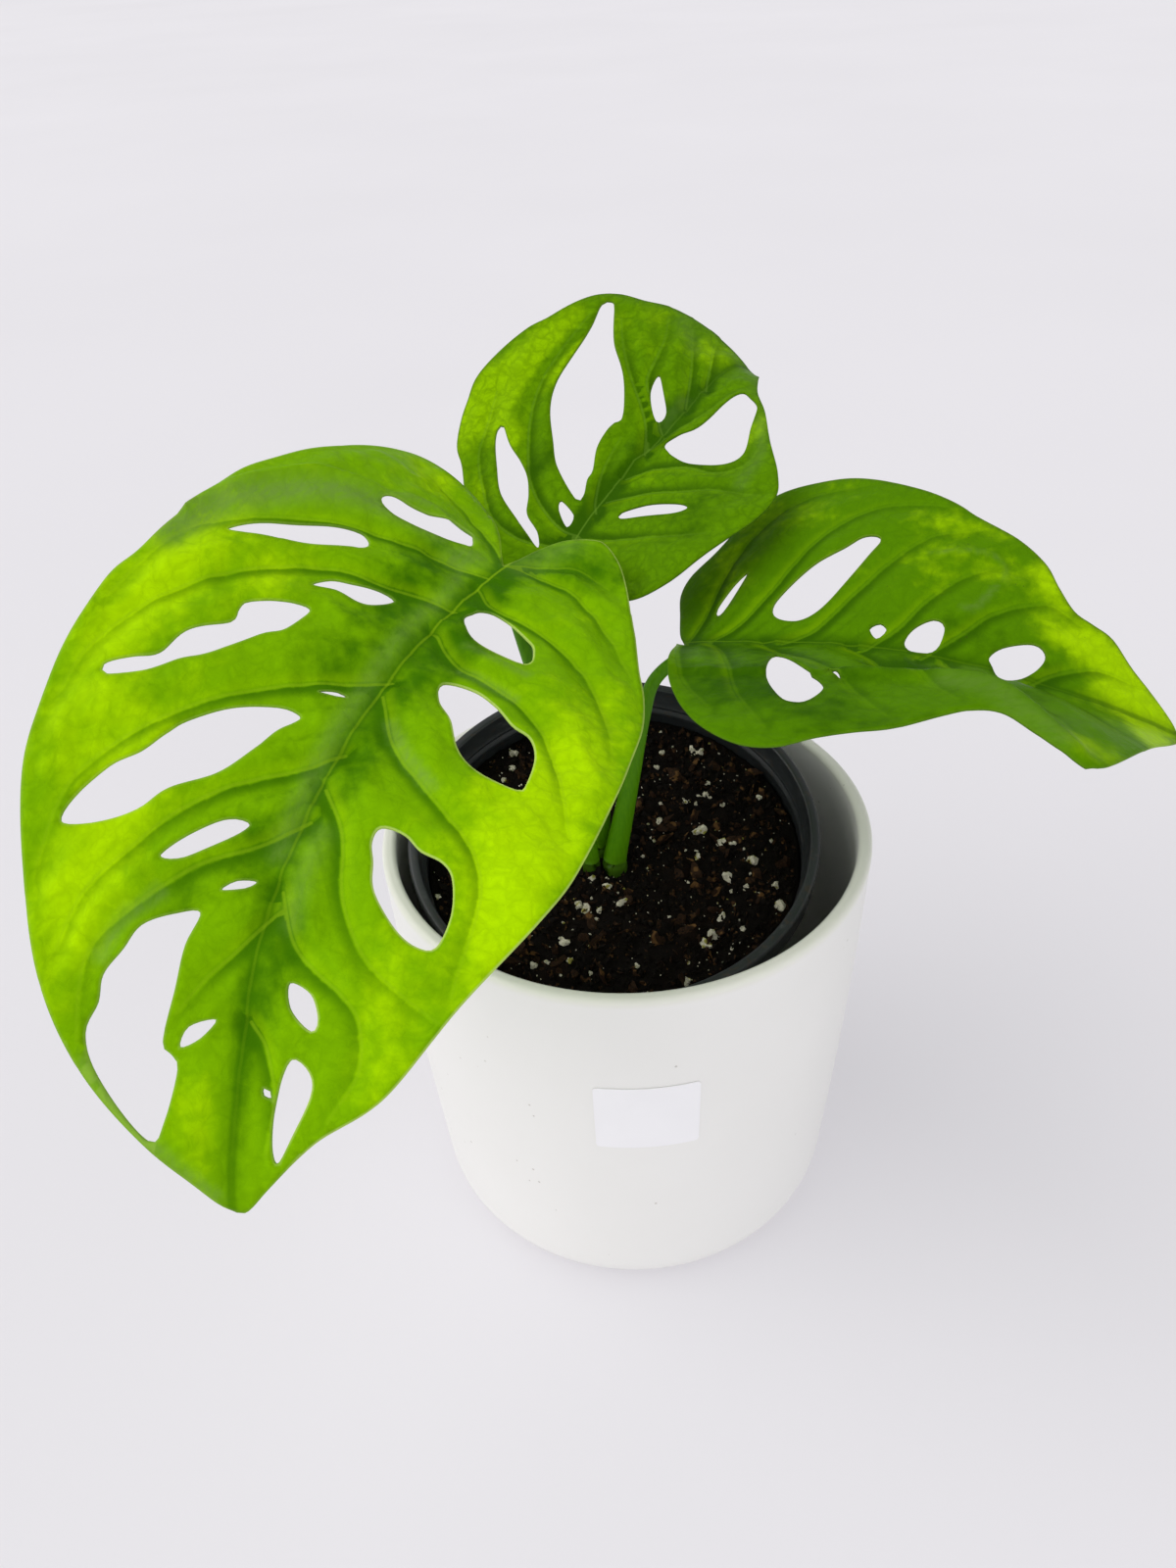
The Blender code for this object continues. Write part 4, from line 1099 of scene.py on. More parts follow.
def end_tree(tree, shape, material):
    """Close a tree: make what it holds real, give it its material and let it out."""
    real = add_node(tree, "GeometryNodeRealizeInstances", {}, {"Geometry": shape})
    painted = add_node(tree, "GeometryNodeSetMaterial", {},
                       {"Geometry": real["Geometry"], "Material": material})
    add_node(tree, "NodeGroupOutput", {}, {"Geometry": painted["Geometry"]})
    return tree


def run_tree(thing, tree, values):
    """Put a tree on an object, set its inputs by identifier and keep the plain result."""
    modifier = thing.modifiers.new(tree.name, "NODES")
    modifier.node_group = tree
    for socket in tree.interface.items_tree:
        if socket.in_out == "INPUT" and socket.name in values:
            modifier[socket.identifier] = values[socket.name]
    return apply_modifiers(thing)


# %% A tree that sweeps a stalk


def stalk_tree():
    """Geometry Nodes: sweep a grooved section along a curve, by the curve's own radius."""
    tree, start = new_tree("sweep_stalk", (
        ("Section", "Object"), ("Piece Length", "Float"), ("Material", "Material")))
    route = add_node(tree, "GeometryNodeResampleCurve", {"mode": "LENGTH"},
                     {"Curve": start["Geometry"], "Length": start["Piece Length"]})
    section = add_node(tree, "GeometryNodeObjectInfo", {}, {"Object": start["Section"]})
    radius = add_node(tree, "GeometryNodeInputRadius")
    swept = add_node(tree, "GeometryNodeCurveToMesh", {},
                     {"Curve": route["Curve"], "Profile Curve": section["Geometry"],
                      "Scale": radius["Radius"], "Fill Caps": True})
    smooth = add_node(tree, "GeometryNodeSetShadeSmooth", {}, {"Geometry": swept["Mesh"]})
    return end_tree(tree, smooth["Geometry"], start["Material"])


# %% The section of a stalk


def new_curve(name, dimensions, count):
    """A poly curve with as many points as asked for, and its one spline."""
    curve = bpy.data.curves.new(name, "CURVE")
    curve.dimensions = dimensions
    spline = curve.splines.new("POLY")
    spline.points.add(count - 1)
    return curve, spline


def make_section():
    """A round section of radius 1 mm with a shallow channel on one side."""
    sides = 28
    curve, spline = new_curve("section", "2D", sides)
    for i in range(sides):
        angle = math.tau * i / sides
        channel = math.exp(-((angle - math.pi / 2) / 0.34) ** 2)
        shoulder = math.exp(-((abs(angle - math.pi / 2) - 0.75) / 0.3) ** 2)
        reach = 1.0 - 0.16 * channel + 0.03 * shoulder
        spline.points[i].co = (reach * math.cos(angle) * MM, reach * math.sin(angle) * MM, 0, 1)
    spline.use_cyclic_u = True
    return new_object("section", curve)


SECTION = make_section()
print("stalk section with", len(SECTION.data.splines[0].points), "points")

# %% Sweep the stalks
STALK_TREE = stalk_tree()
STALK_PIECE = 1.5


def make_stalk(name, petiole):
    """Sweep one stalk along its route."""
    line, radii = petiole_route(petiole)
    curve, spline = new_curve(name, "3D", len(line))
    curve.twist_mode = "Z_UP"
    for point, place, radius in zip(spline.points, line, radii):
        point.co = (*(place * MM), 1.0)
        point.radius = radius
    return run_tree(new_object(name + "_stalk", curve), STALK_TREE,
                    {"Section": SECTION, "Piece Length": STALK_PIECE * MM, "Material": STALK})


for name, petiole in PETIOLES.items():
    stand_for(make_stalk(name, petiole), name)
bpy.data.objects.remove(SECTION, do_unlink=True)

# %% [markdown]
# ## Blades
#
# Each blade is filled with small triangles between its margin and its cut-outs. The points
# follow the veins as well, so that the relief can sink along them. The blade swells
# between the side veins, sinks along them, and carries a rib underneath. The distances to
# the veins, the midrib and the nearest edge are kept on the mesh for the colour.

# %% Flat lines and distances
EDGE_STEP = 1.0
INNER_STEP = 1.35
VEIN_POINTS = 0.7
RIB_POINTS = 0.8
EDGE_ROOM = 0.7
GRID_EDGE_ROOM = 0.75
GRID_LINE_ROOM = 1.0
CLOSEST = 0.3
CHUNK = 2000


def to_array(line):
    """A line of Vectors as an array."""
    return np.array([tuple(p) for p in line], float)


def flat_line(points, step, closed=False):
    """A smooth line through flat points, as an array."""
    return to_array(smooth_line(points, closed, step))


def turning(first, second):
    """How one flat direction turns to another: above 0 to the left, below 0 to the right."""
    return first[..., 0] * second[..., 1] - first[..., 1] * second[..., 0]


def bell(distance, width):
    """1 where the distance is 0, fading out over about two widths."""
    return np.exp(-(distance / width) ** 2)


def in_loop(points, loop):
    """Which points lie inside a closed loop, by counting crossings."""
    x = points[:, 0:1]
    y = points[:, 1:2]
    a = loop
    b = np.roll(loop, -1, axis=0)
    spans = (a[:, 1] > y) != (b[:, 1] > y)
    rise = np.where(b[:, 1] == a[:, 1], 1e-9, b[:, 1] - a[:, 1])
    cut = a[:, 0] + (y - a[:, 1]) * (b[:, 0] - a[:, 0]) / rise
    return (np.sum(spans & (x < cut), axis=1) % 2) == 1


def on_blade(points, loops):
    """Which points lie within the margin and outside every cut-out."""
    good = in_loop(points, loops[0])
    for hole in loops[1:]:
        good &= ~in_loop(points, hole)
    return good


def nearest(points, line):
    """Distance from each point to the nearest of a line's points."""
    best = np.zeros(len(points))
    for start in range(0, len(points), CHUNK):
        part = slice(start, start + CHUNK)
        best[part] = np.linalg.norm(points[part, None] - line[None], axis=2).min(axis=1)
    return best


# %% Filling a blade with fine triangles


def leaf_loops(leaf, step):
    """Margin and cut-outs as closed loops."""
    plus = flat_line(leaf["margin_plus"], step)
    minus = flat_line(leaf["margin_minus"], step)
    margin = np.concatenate([plus[:-1], minus[:0:-1]])
    return [margin] + [flat_line(hole, step, True) for hole in leaf["holes"]]


def fill_blade(leaf):
    """Points, triangles and edge loops of a flat blade, with points along its veins."""
    loops = leaf_loops(leaf, EDGE_STEP)
    edge = np.concatenate(loops)
    veins = [flat_line(vein, VEIN_POINTS) for vein in leaf["veins"]]
    ribs = np.array(leaf["rib"], float)
    spine = np.arange(1.5, leaf["margin_plus"][-1][0] - 1.0, RIB_POINTS)
    spine = np.stack([spine, np.interp(spine, ribs[:, 0], ribs[:, 1])], axis=1)
    lines = np.concatenate(veins + [spine])
    lines = lines[on_blade(lines, loops)]
    lines = lines[nearest(lines, edge) > EDGE_ROOM]
    kept = []
    for p in lines:
        if not kept or min((p[0] - q[0]) ** 2 + (p[1] - q[1]) ** 2 for q in kept) > CLOSEST:
            kept.append(p)
    lines = np.array(kept)
    low = edge.min(axis=0)
    high = edge.max(axis=0)
    rows = np.arange(low[0], high[0], INNER_STEP * 0.87)
    columns = np.arange(low[1], high[1], INNER_STEP)
    grid = np.array([(u, v + (INNER_STEP / 2 if i % 2 else 0.0))
                     for i, u in enumerate(rows) for v in columns])
    grid = grid[on_blade(grid, loops)]
    grid = grid[nearest(grid, edge) > GRID_EDGE_ROOM]
    grid = grid[nearest(grid, lines) > GRID_LINE_ROOM]
    flat = np.concatenate([edge, lines, grid])
    edges = []
    start = 0
    for loop in loops:
        count = len(loop)
        edges += [(start + i, start + (i + 1) % count) for i in range(count)]
        start += count
    points, _, triangles, _, _, _ = delaunay_2d_cdt(
        [Vector(p) for p in flat], edges, [], 1, 0.0001)
    points = to_array(points)
    triangles = np.array([list(t) for t in triangles], int)
    good = on_blade(points[triangles].mean(axis=1), loops)
    return points, triangles[good], edge, veins


print("blade filler ready")

# %% [markdown]
# Relief comes from simple formulas of those distances. The midrib and side veins sink
# into the upper side, the stretch between two veins swells, and a slow wave keeps the sheet
# from looking ironed. The margin of each cut-out lifts a touch, as it does where the
# tissue stopped growing. All of it dies out at the seat of the stalk, which stays clear.

# %% Sizes of the relief
SWELL = 1.25
VALLEY = 1.0
VEIN_STEP = 0.45
VEIN_SINK = 0.32
FINE_VEIN_SINK = 0.20
MIDRIB_SINK = 0.7
SLOW_WAVE = 0.30
EDGE_WAVE = 0.45
PUCKER = 0.55
RIM_LIFT = 0.25
RIB_DEPTH = 0.9
SIDE_RIB_DEPTH = 0.45
BLADE_HALF = 0.30


print("swell", SWELL, "mm, valleys", VALLEY, "mm, ribs", RIB_DEPTH, "mm")

# %% Distances to the veins


def resample(line, count):
    """A line as a fixed number of evenly spaced points."""
    lengths = np.concatenate(([0.0], np.cumsum(np.linalg.norm(np.diff(line, axis=0), axis=1))))
    places = np.linspace(0, lengths[-1], count)
    return np.stack([np.interp(places, lengths, line[:, k]) for k in (0, 1)], axis=1)


def between_veins(veins):
    """Two finer veins between each pair of neighbours that leave the midrib on one side."""
    finer = []
    for first, second in zip(veins, veins[1:]):
        on_midrib = abs(first[0][1]) < 0.1 and abs(second[0][1]) < 0.1
        if on_midrib and first[-1][1] * second[-1][1] > 0:
            a = resample(first, 60)
            b = resample(second, 60)
            finer += [a + (b - a) * share for share in (0.34, 0.67)]
    return finer


def line_fields(points, lines):
    """Distance to the nearest line, how far along it that is, and on which side of it."""
    gap = np.full(len(points), 1e9)
    share = np.zeros(len(points))
    side = np.zeros(len(points))
    for line in lines:
        start = line[:-1]
        run = line[1:] - start
        for first in range(0, len(points), CHUNK):
            part = slice(first, first + CHUNK)
            off = points[part, None] - start
            reach = np.clip((off * run).sum(axis=2) / (run * run).sum(axis=1), 0, 1)
            miss = off - reach[..., None] * run
            far = np.hypot(miss[..., 0], miss[..., 1])
            best = far.argmin(axis=1)
            row = np.arange(len(best))
            near = far[row, best]
            way = -math.copysign(1, line[-1][1]) * np.sign(turning(run[best], off[row, best]))
            closer = near < gap[part]
            for field, values in ((gap, near), (share, (best + reach[row, best]) / len(run)),
                                  (side, way)):
                field[part] = np.where(closer, values, field[part])
    return gap, share, side


# %% Soft strips and spots


def soft_strips(points, strips):
    """Soft strips of a half width and a strength along lines."""
    total = np.zeros(len(points))
    for width, strength, line in strips:
        total = np.maximum(total, strength * bell(nearest(points, flat_line(line, 1.0)), width))
    return total


def soft_spots(points, spots):
    """Soft round spots, added up and kept between -1 and 1."""
    total = np.zeros(len(points))
    for u, v, length, width, strength in spots:
        reach = ((points[:, 0] - u) / length) ** 2 + ((points[:, 1] - v) / width) ** 2
        total += strength * np.exp(-reach)
    return np.clip(total, -1, 1)


# %% The fields of a blade and its relief


def blade_fields(leaf, points, edge, veins):
    """Distances and shares that steer the relief and the colour."""
    u = points[:, 0]
    v = points[:, 1]
    vein_gap, vein_share, side = line_fields(points, veins)
    fine_gap, fine_share, _ = line_fields(points, between_veins(veins))
    ribs = np.array(leaf["rib"], float)
    return {
        "along": u, "across": v, "way": np.clip(u / leaf["margin_plus"][-1][0], 0, 1),
        "seat": 1 - np.exp(-((u - 3) / 13) ** 2 - (v / 7) ** 2),
        "vein_gap": vein_gap, "vein_share": vein_share, "side": side,
        "lean": side * np.tanh(vein_gap / 1.5), "fine_gap": fine_gap + 2.0 * fine_share,
        "rib_side": v - np.interp(u, ribs[:, 0], ribs[:, 1]), "edge_gap": nearest(points, edge),
        "bloom": soft_strips(points, leaf["bloom"]), "glow": soft_spots(points, leaf["glow"])}


def relief(leaf, points, fields):
    """Height of the upper side above the plain blade, in mm, and depth of the rib below."""
    u = fields["along"]
    v = fields["across"]
    gap = fields["vein_gap"]
    rib_gap = np.abs(fields["rib_side"])
    edge_gap = fields["edge_gap"]
    thin = 1 - 0.7 * fields["vein_share"]
    rib_thin = 1 - 0.8 * fields["way"]
    rim = 1 - bell(edge_gap, 3.5)
    line = np.minimum(gap, rib_gap + 1.0)
    height = SWELL * (1 - bell(line, 7.0)) * rim - 0.5 * SWELL
    height -= VALLEY * thin * bell(gap, 3.2) * (0.4 + 0.6 * rim)
    height -= VEIN_STEP * thin * np.tanh(fields["side"] * gap / 1.2) * bell(gap, 6.0)
    height -= VEIN_SINK * thin * bell(gap, 0.9)
    height -= MIDRIB_SINK * rib_thin * bell(rib_gap, 1.4)
    height -= FINE_VEIN_SINK * bell(fields["fine_gap"], 1.1)
    height += SLOW_WAVE * np.sin(u * 0.23 + np.sin(v * 0.17)) * np.cos(v * 0.21 - 0.4) * rim
    wavy = np.clip((u + 5) / 60, 0, 1) * np.exp(-edge_gap / 5.0)
    height += EDGE_WAVE * np.sin(u * 0.27 + np.abs(v) * 0.21) * wavy
    pucker = [noise.noise(Vector((a * 0.2, b * 0.2, 0.0))) for a, b in zip(u, v)]
    height += PUCKER * np.array(pucker) * rim
    height += RIM_LIFT * np.exp(-edge_gap / 1.6)
    height *= leaf["relief"]
    for lift, width, fall, crease in leaf["creases"]:
        near, _, side = line_fields(points, [flat_line(crease, 1.0)])
        outer = side * math.copysign(1, crease[-1][1]) > 0
        height += lift * bell(near, width)
        height -= outer * fall * (1 - np.exp(-near / 5.0))
    below = RIB_DEPTH * rib_thin * bell(rib_gap, 1.2) + SIDE_RIB_DEPTH * thin * bell(gap, 0.8)
    return height * fields["seat"], below * fields["seat"]


# %% A blade from both its sides


def boundary_edges(triangles):
    """Directed edges that belong to only one triangle."""
    seen = {}
    for a, b, c in triangles:
        for pair in ((a, b), (b, c), (c, a)):
            seen[pair] = True
    return [pair for pair in seen if (pair[1], pair[0]) not in seen]


def make_blade(name, leaf, material):
    """A blade with an upper side, a ribbed underside and a narrow edge."""
    points, triangles, edge, veins = fill_blade(leaf)
    fields = blade_fields(leaf, points, edge, veins)
    height, below = relief(leaf, points, fields)
    middle = blade_point(leaf, points[:, 0], points[:, 1])
    normal = blade_normal(leaf, points[:, 0], points[:, 1])
    a, b, c = (points[triangles[:, k]] for k in range(3))
    wrong = turning(b - a, c - a) < 0
    triangles[wrong] = triangles[wrong][:, ::-1]
    upper = middle + normal * (height + BLADE_HALF)[:, None]
    lower = middle + normal * (height - BLADE_HALF - below)[:, None]
    count = len(points)
    faces = [tuple(t) for t in triangles]
    faces += [(t[0] + count, t[2] + count, t[1] + count) for t in triangles]
    faces += [(q, p, p + count, q + count) for p, q in boundary_edges(triangles)]
    mesh = bpy.data.meshes.new(name)
    mesh.from_pydata((np.concatenate([upper, lower]) * MM).tolist(), [], faces)
    on_both = {key: np.tile(values, 2) for key, values in fields.items()}
    for key, values in {**on_both, "upper_side": np.repeat([1.0, 0.0], count)}.items():
        layer = mesh.attributes.new(key, "FLOAT", "POINT")
        layer.data.foreach_set("value", values.astype(np.float32))
    loose = open_mesh(mesh)
    bmesh.ops.delete(loose, geom=[p for p in loose.verts if not p.link_faces], context="VERTS")
    return new_piece(name, close_mesh(loose, mesh), material)


# %% [markdown]
# ## Leaf colour
#
# Light shines through a thin blade and falls on it unevenly, and here both are painted into
# its colour: the painted light and shade spots of each leaf and two noises choose between a
# bright, a fresh and a deep green, yellow-green away from the thick veins. Voronoi cells draw
# the darker net of the finest veins. The flank of each side vein that faces the tip is
# painted in shade, the midrib runs as a pale line in a dark band of painted shade, and a dull
# grey sheen is painted along the strips where light catches the waxy skin. One recipe serves
# all three leaves, with its own greens for each.

# %% Leaf recipe


def leaf_paint(name, bright, fresh, deep, bloom, rib, rim, net_depth=1.0, spots=0.0):
    """A leaf's finish from a few greens and the fields kept on its mesh."""
    paint = Paint(name, {"Specular IOR Level": 0.02, "Specular Tint": (0.6, 0.9, 0.0, 1.0)})
    flat = paint.join(paint.value("along") * 0.1, paint.value("across") * 0.1)
    vein_gap = paint.value("vein_gap")
    rib_gap = abs(paint.value("rib_side"))
    edge_gap = paint.value("edge_gap")
    thin = 1 - paint.value("vein_share") * 0.7
    way = paint.value("way")
    upper = paint.value("upper_side")
    lean = paint.value("lean")
    flank = paint.step(vein_gap, 0.4, 4.9, 0.72, 0.0) * thin

    cloud = paint.noise(flat, 0.55, 3.0, 0.5)
    mottle = paint.noise(flat, 2.2, 4.0, 0.6)
    # Painted light and shade: the spots make the leaf bright where light shines through or falls and
    # deep green where shade falls; the two noises add its own uneven tone.
    level = paint.value("glow") + (cloud - 0.5) * 0.9 + (mottle - 0.5) * 0.7
    green = paint.mix(paint.step(level, 0.10, 0.90), fresh, bright)
    green = paint.mix(paint.step(level, -0.02, -0.75), green, deep)

    warp = paint.noise(flat, 2.0, 2.0, output=1)
    bent = paint.node("ShaderNodeVectorMath", {"operation": "MULTIPLY_ADD"},
                      {0: warp, 1: (0.45, 0.45, 0.0), 2: flat})
    net = paint.cells(bent, 2.5)
    fine_net = paint.cells(bent, 6.5)
    lines = paint.step(net, 0.0, 0.24, 0.20, 0.0) + paint.step(fine_net, 0.0, 0.22, 0.10, 0.0)
    green = paint.mix(lines * net_depth, green, deep)
    tertiary = paint.step(paint.value("fine_gap"), 0.2, 1.3, 1.0, 0.0)
    green = paint.mix(tertiary * 0.34, green, deep)

    shade = paint.step(flank * paint.step(lean, 0.0, 0.45), 0.05, 0.62)
    green = paint.mix(shade * 0.88, green, deep)
    light = paint.step(flank * paint.step(lean, 0.0, -0.45), 0.15, 0.90)
    green = paint.mix(light * 0.30, green, bright)
    # Painted shade in a wide and a narrow dark band along the midrib, the wide one fading towards
    # the tip.
    groove_shade = paint.step(rib_gap, 0.6, 4.0, 1.0, 0.0)
    green = paint.mix(groove_shade * (0.62 - way * 0.34), green, deep)
    green = paint.mix(paint.step(rib_gap, 0.35, 1.3, 0.55, 0.0), green, deep)

    # Painted sheen: a dull grey-green laid over the upper side along the sheen strips, broken into
    # streaks.
    streak = paint.noise(paint.scaled(flat, 1.0, 2.6, 1.0), 3.4, 4.0, 0.65)
    painted_sheen = paint.value("bloom") * paint.step(streak, 0.25, 0.60, 0.35, 1.0) * upper
    green = paint.mix(painted_sheen * 0.85, green, bloom)

    line = paint.step(vein_gap, 0.12, 0.50, 1.0, 0.0) * thin
    green = paint.mix(line * 0.42, green, rib)
    rib_line = paint.step(rib_gap, 0.10, 0.42, 1.0, 0.0) * (1 - way)
    green = paint.mix(rib_line * 0.60, green, rib)
    # The margin line in the rim green, made stronger where across passes 6 mm as a painted
    # highlight.
    border = paint.step(edge_gap, 0.10, 0.55, 1.0, 0.0)
    lit = paint.step(paint.value("across"), 6.0, 16.0, 0.15, 0.75)
    green = paint.mix(border * lit, green, rim)
    # The underside takes a share of the same grey-green as its own paler colour.
    green = paint.mix((1 - upper) * 0.30, green, bloom)
    if spots:
        dot = paint.step(paint.cells(flat, 4.5, "F1"), 0.04, 0.08, 1.0, 0.0)
        rare = paint.step(paint.noise(flat, 1.7, 1.0), 0.58, 0.62)
        green = paint.mix(dot * rare * spots, green, (0.05, 0.045, 0.01))
    grain = paint.noise(flat, 60.0, 3.0)
    rough = paint.step(grain * 0.4 + painted_sheen * 0.7 + mottle * 0.3, 0.2, 1.2, 0.36, 0.70)
    skin = paint.bump(net * 0.9 + fine_net * 0.35 + grain * 0.08 + mottle * 0.3, 0.40, 0.6)
    return paint.finish(green, rough, skin)


# %% Three greens
LEFT_GREEN = leaf_paint(
    "left_leaf_green", bright=(0.420, 0.720, 0.001), fresh=(0.190, 0.420, 0.001),
    deep=(0.044, 0.155, 0.001), bloom=(0.165, 0.300, 0.050), rib=(0.270, 0.470, 0.010),
    rim=(0.520, 0.680, 0.160), net_depth=0.6)
BACK_GREEN = leaf_paint(
    "back_leaf_green", bright=(0.255, 0.480, 0.001), fresh=(0.105, 0.250, 0.001),
    deep=(0.028, 0.092, 0.001), bloom=(0.100, 0.190, 0.035), rib=(0.120, 0.240, 0.020),
    rim=(0.110, 0.220, 0.010), net_depth=1.2)
RIGHT_GREEN = leaf_paint(
    "right_leaf_green", bright=(0.350, 0.600, 0.001), fresh=(0.085, 0.220, 0.001),
    deep=(0.028, 0.095, 0.001), bloom=(0.120, 0.220, 0.035), rib=(0.120, 0.250, 0.005),
    rim=(0.150, 0.270, 0.020), net_depth=0.6, spots=0.9)
print("leaf greens ready")

# %% Make the blades
for name, leaf, slot, green in (
        ("leaf_left", LEAF_LEFT, "leaf_bright", LEFT_GREEN),
        ("leaf_back", LEAF_BACK, "leaf_deep", BACK_GREEN),
        ("leaf_right", LEAF_RIGHT, "leaf_deep", RIGHT_GREEN)):
    stand_for(make_blade(name + "_blade", leaf, green), name)

# %% [markdown]
# ## Soil
#
# The mix is dark peat with bark and perlite. A disc of fine mesh is roughened with layered
# noise for the peat itself. Loose grains are then strewn over it with Geometry Nodes:
# a tree scatters points on the surface, puts a random grain on each, and turns and sizes it
# by its own seed. Three kinds of grain make the mix: peat crumbs, bark chips and perlite.

# %% Peat surface


def peat_paint():
    """Nearly black, fibrous and dull."""
    paint = Paint("peat", {"Specular IOR Level": 0.12})
    place = paint.place()
    crumb = paint.noise(place, 650.0, 6.0, 0.7)
    cloud = paint.noise(place, 90.0, 3.0)
    colour = paint.mix(crumb, (0.0006, 0.0004, 0.0003), (0.006, 0.0034, 0.002))
    colour = paint.mix(paint.step(cloud, 0.5, 0.75) * 0.5, colour, (0.013, 0.006, 0.003))
    rough = paint.step(cloud, 0.2, 0.8, 0.80, 0.95)
    return paint.finish(colour, rough, paint.bump(crumb, 0.8, 0.9))


PEAT = peat_paint()
print(PEAT.name, "ready")

# %% Make the bed of peat


def soil_relief(x, y):
    """Small rise and fall of loose soil, in mm, from a few crossing waves."""
    waves = math.sin(x * 0.31 + 0.8) * math.cos(y * 0.27 - 0.4)
    waves += 0.6 * math.sin(x * 0.73 - y * 0.55 + 2.0)
    waves += 0.4 * math.cos(x * 0.95 + y * 1.1 + 1.0)
    return SOIL_RELIEF * waves / 2.0


def make_soil():
    """A disc of rough peat on a plain body that fills the pot, tipped with it."""
    level = nursery_height() - SOIL_DEPTH
    rings = 64
    steps = 190
    outer = nursery_inner_radius(level) - GAP - 0.1
    vertices = [(0.0, 0.0, level + soil_relief(0, 0))]
    for ring in range(1, rings + 1):
        share = ring / rings
        for step in range(steps):
            angle = math.tau * (step + 0.5 * (ring % 2)) / steps
            x = outer * share * math.cos(angle)
            y = outer * share * math.sin(angle)
            rough = noise.fractal(Vector((x * 0.45, y * 0.45, 3.0)), 0.8, 2.1, 5)
            z = soil_relief(x, y) * min(1.0, 6 * (1 - share)) + 0.75 * rough
            vertices.append((x, y, level + z))
    floor = NURSERY_WALL + GAP
    for z in (level * 0.5, floor):
        radius = nursery_inner_radius(z) - GAP - (1.2 if z == floor else 0.1)
        for step in range(steps):
            angle = math.tau * (step + 0.5) / steps
            vertices.append((radius * math.cos(angle), radius * math.sin(angle), z))
    vertices.append((0.0, 0.0, floor))
    faces = []
    for step in range(steps):
        after = (step + 1) % steps
        faces.append((0, 1 + step, 1 + after))
        for ring in range(rings + 1):
            near = 1 + ring * steps
            far = near + steps
            faces.append((near + step, far + step, far + after, near + after))
        last = 1 + (rings + 1) * steps
        faces.append((last + step, len(vertices) - 1, last + after))
    mesh = bpy.data.meshes.new("soil")
    mesh.from_pydata([tuple(c * MM for c in v) for v in vertices], [], faces)
    shape = open_mesh(mesh)
    bmesh.ops.recalc_face_normals(shape, faces=shape.faces)
    close_mesh(shape, mesh)
    mesh.transform(nursery_matrix())
    return new_piece("soil_peat", mesh, PEAT)


soil = make_soil()
stand_for(soil, "soil")

# %% [markdown]
# The strewing tree scatters points by a density that is 0 next to the stalks and the wall,
# puts a grain on each and gives it a random turn. A random number raised to a high power
# makes small grains common and large ones rare, as they are in a bag of soil.

# %% A tree that strews grains


def strew_tree():
    """Geometry Nodes: scatter grains from a collection over a surface."""
    tree, start = new_tree("strew_grains", (
        ("Grains", "Collection"), ("Density", "Float"), ("Smallest", "Float"),
        ("Largest", "Float"), ("Rarity", "Float"), ("Lift", "Float"), ("Seed", "Int"),
        ("Material", "Material")))

    def maths(operation, first, second):
        """A Math node on two sockets."""
        return add_node(tree, "ShaderNodeMath", {"operation": operation}, {0: first, 1: second})[0]

    room = add_node(tree, "GeometryNodeInputNamedAttribute", {"data_type": "FLOAT"},
                    {"Name": "room"})
    spots = add_node(tree, "GeometryNodeDistributePointsOnFaces", {"distribute_method": "RANDOM"},
                     {"Mesh": start["Geometry"], "Seed": start["Seed"],
                      "Density": maths("MULTIPLY", start["Density"], room["Attribute"])})
    grains = add_node(tree, "GeometryNodeCollectionInfo", {},
                      {"Collection": start["Grains"], "Separate Children": True,
                       "Reset Children": True})
    chance = add_node(tree, "FunctionNodeRandomValue", {"data_type": "FLOAT"},
                      {"Seed": start["Seed"]})
    size = add_node(tree, "ShaderNodeMapRange", {},
                    {"Value": maths("POWER", chance[1], start["Rarity"]),
                     "To Min": start["Smallest"], "To Max": start["Largest"]})[0]
    spin = add_node(tree, "FunctionNodeRandomValue", {"data_type": "FLOAT_VECTOR"},
                    {"Max": (math.tau, math.tau, math.tau)})
    raised = add_node(tree, "ShaderNodeCombineXYZ", {},
                      {"Z": maths("MULTIPLY", size, start["Lift"])})
    moved = add_node(tree, "GeometryNodeSetPosition", {},
                     {"Geometry": spots["Points"], "Offset": raised[0]})
    strewn = add_node(tree, "GeometryNodeInstanceOnPoints", {},
                      {"Points": moved["Geometry"], "Instance": grains["Instances"],
                       "Pick Instance": True, "Rotation": spin["Value"], "Scale": size})
    return end_tree(tree, strewn["Instances"], start["Material"])


STREW = strew_tree()
print("strewing tree with", len(STREW.nodes), "nodes")

# %% Grains to pick from


def make_grains(name, count, stretch, roughness, detail, seed):
    """A few lumps of about 1 mm for the tree to pick from."""
    lumps = bpy.data.collections.new(name)
    bpy.context.scene.collection.children.link(lumps)
    for i in range(count):
        shape = bmesh.new()
        bmesh.ops.create_icosphere(shape, subdivisions=detail, radius=0.5)
        for vertex in shape.verts:
            place = vertex.co * 2.2 + Vector((seed * 7.0, i * 5.0, 0))
            push = 1 + roughness * noise.noise(place) * 2
            vertex.co = Vector(c * s for c, s in zip(vertex.co * push, stretch[i % len(stretch)]))
        for vertex in shape.verts:
            vertex.co = vertex.co * MM
        mesh = close_mesh(shape, bpy.data.meshes.new(f"{name}_{i}"))
        lumps.objects.link(bpy.data.objects.new(f"{name}_{i}", mesh))
    return lumps


# %% Room for grains on the soil


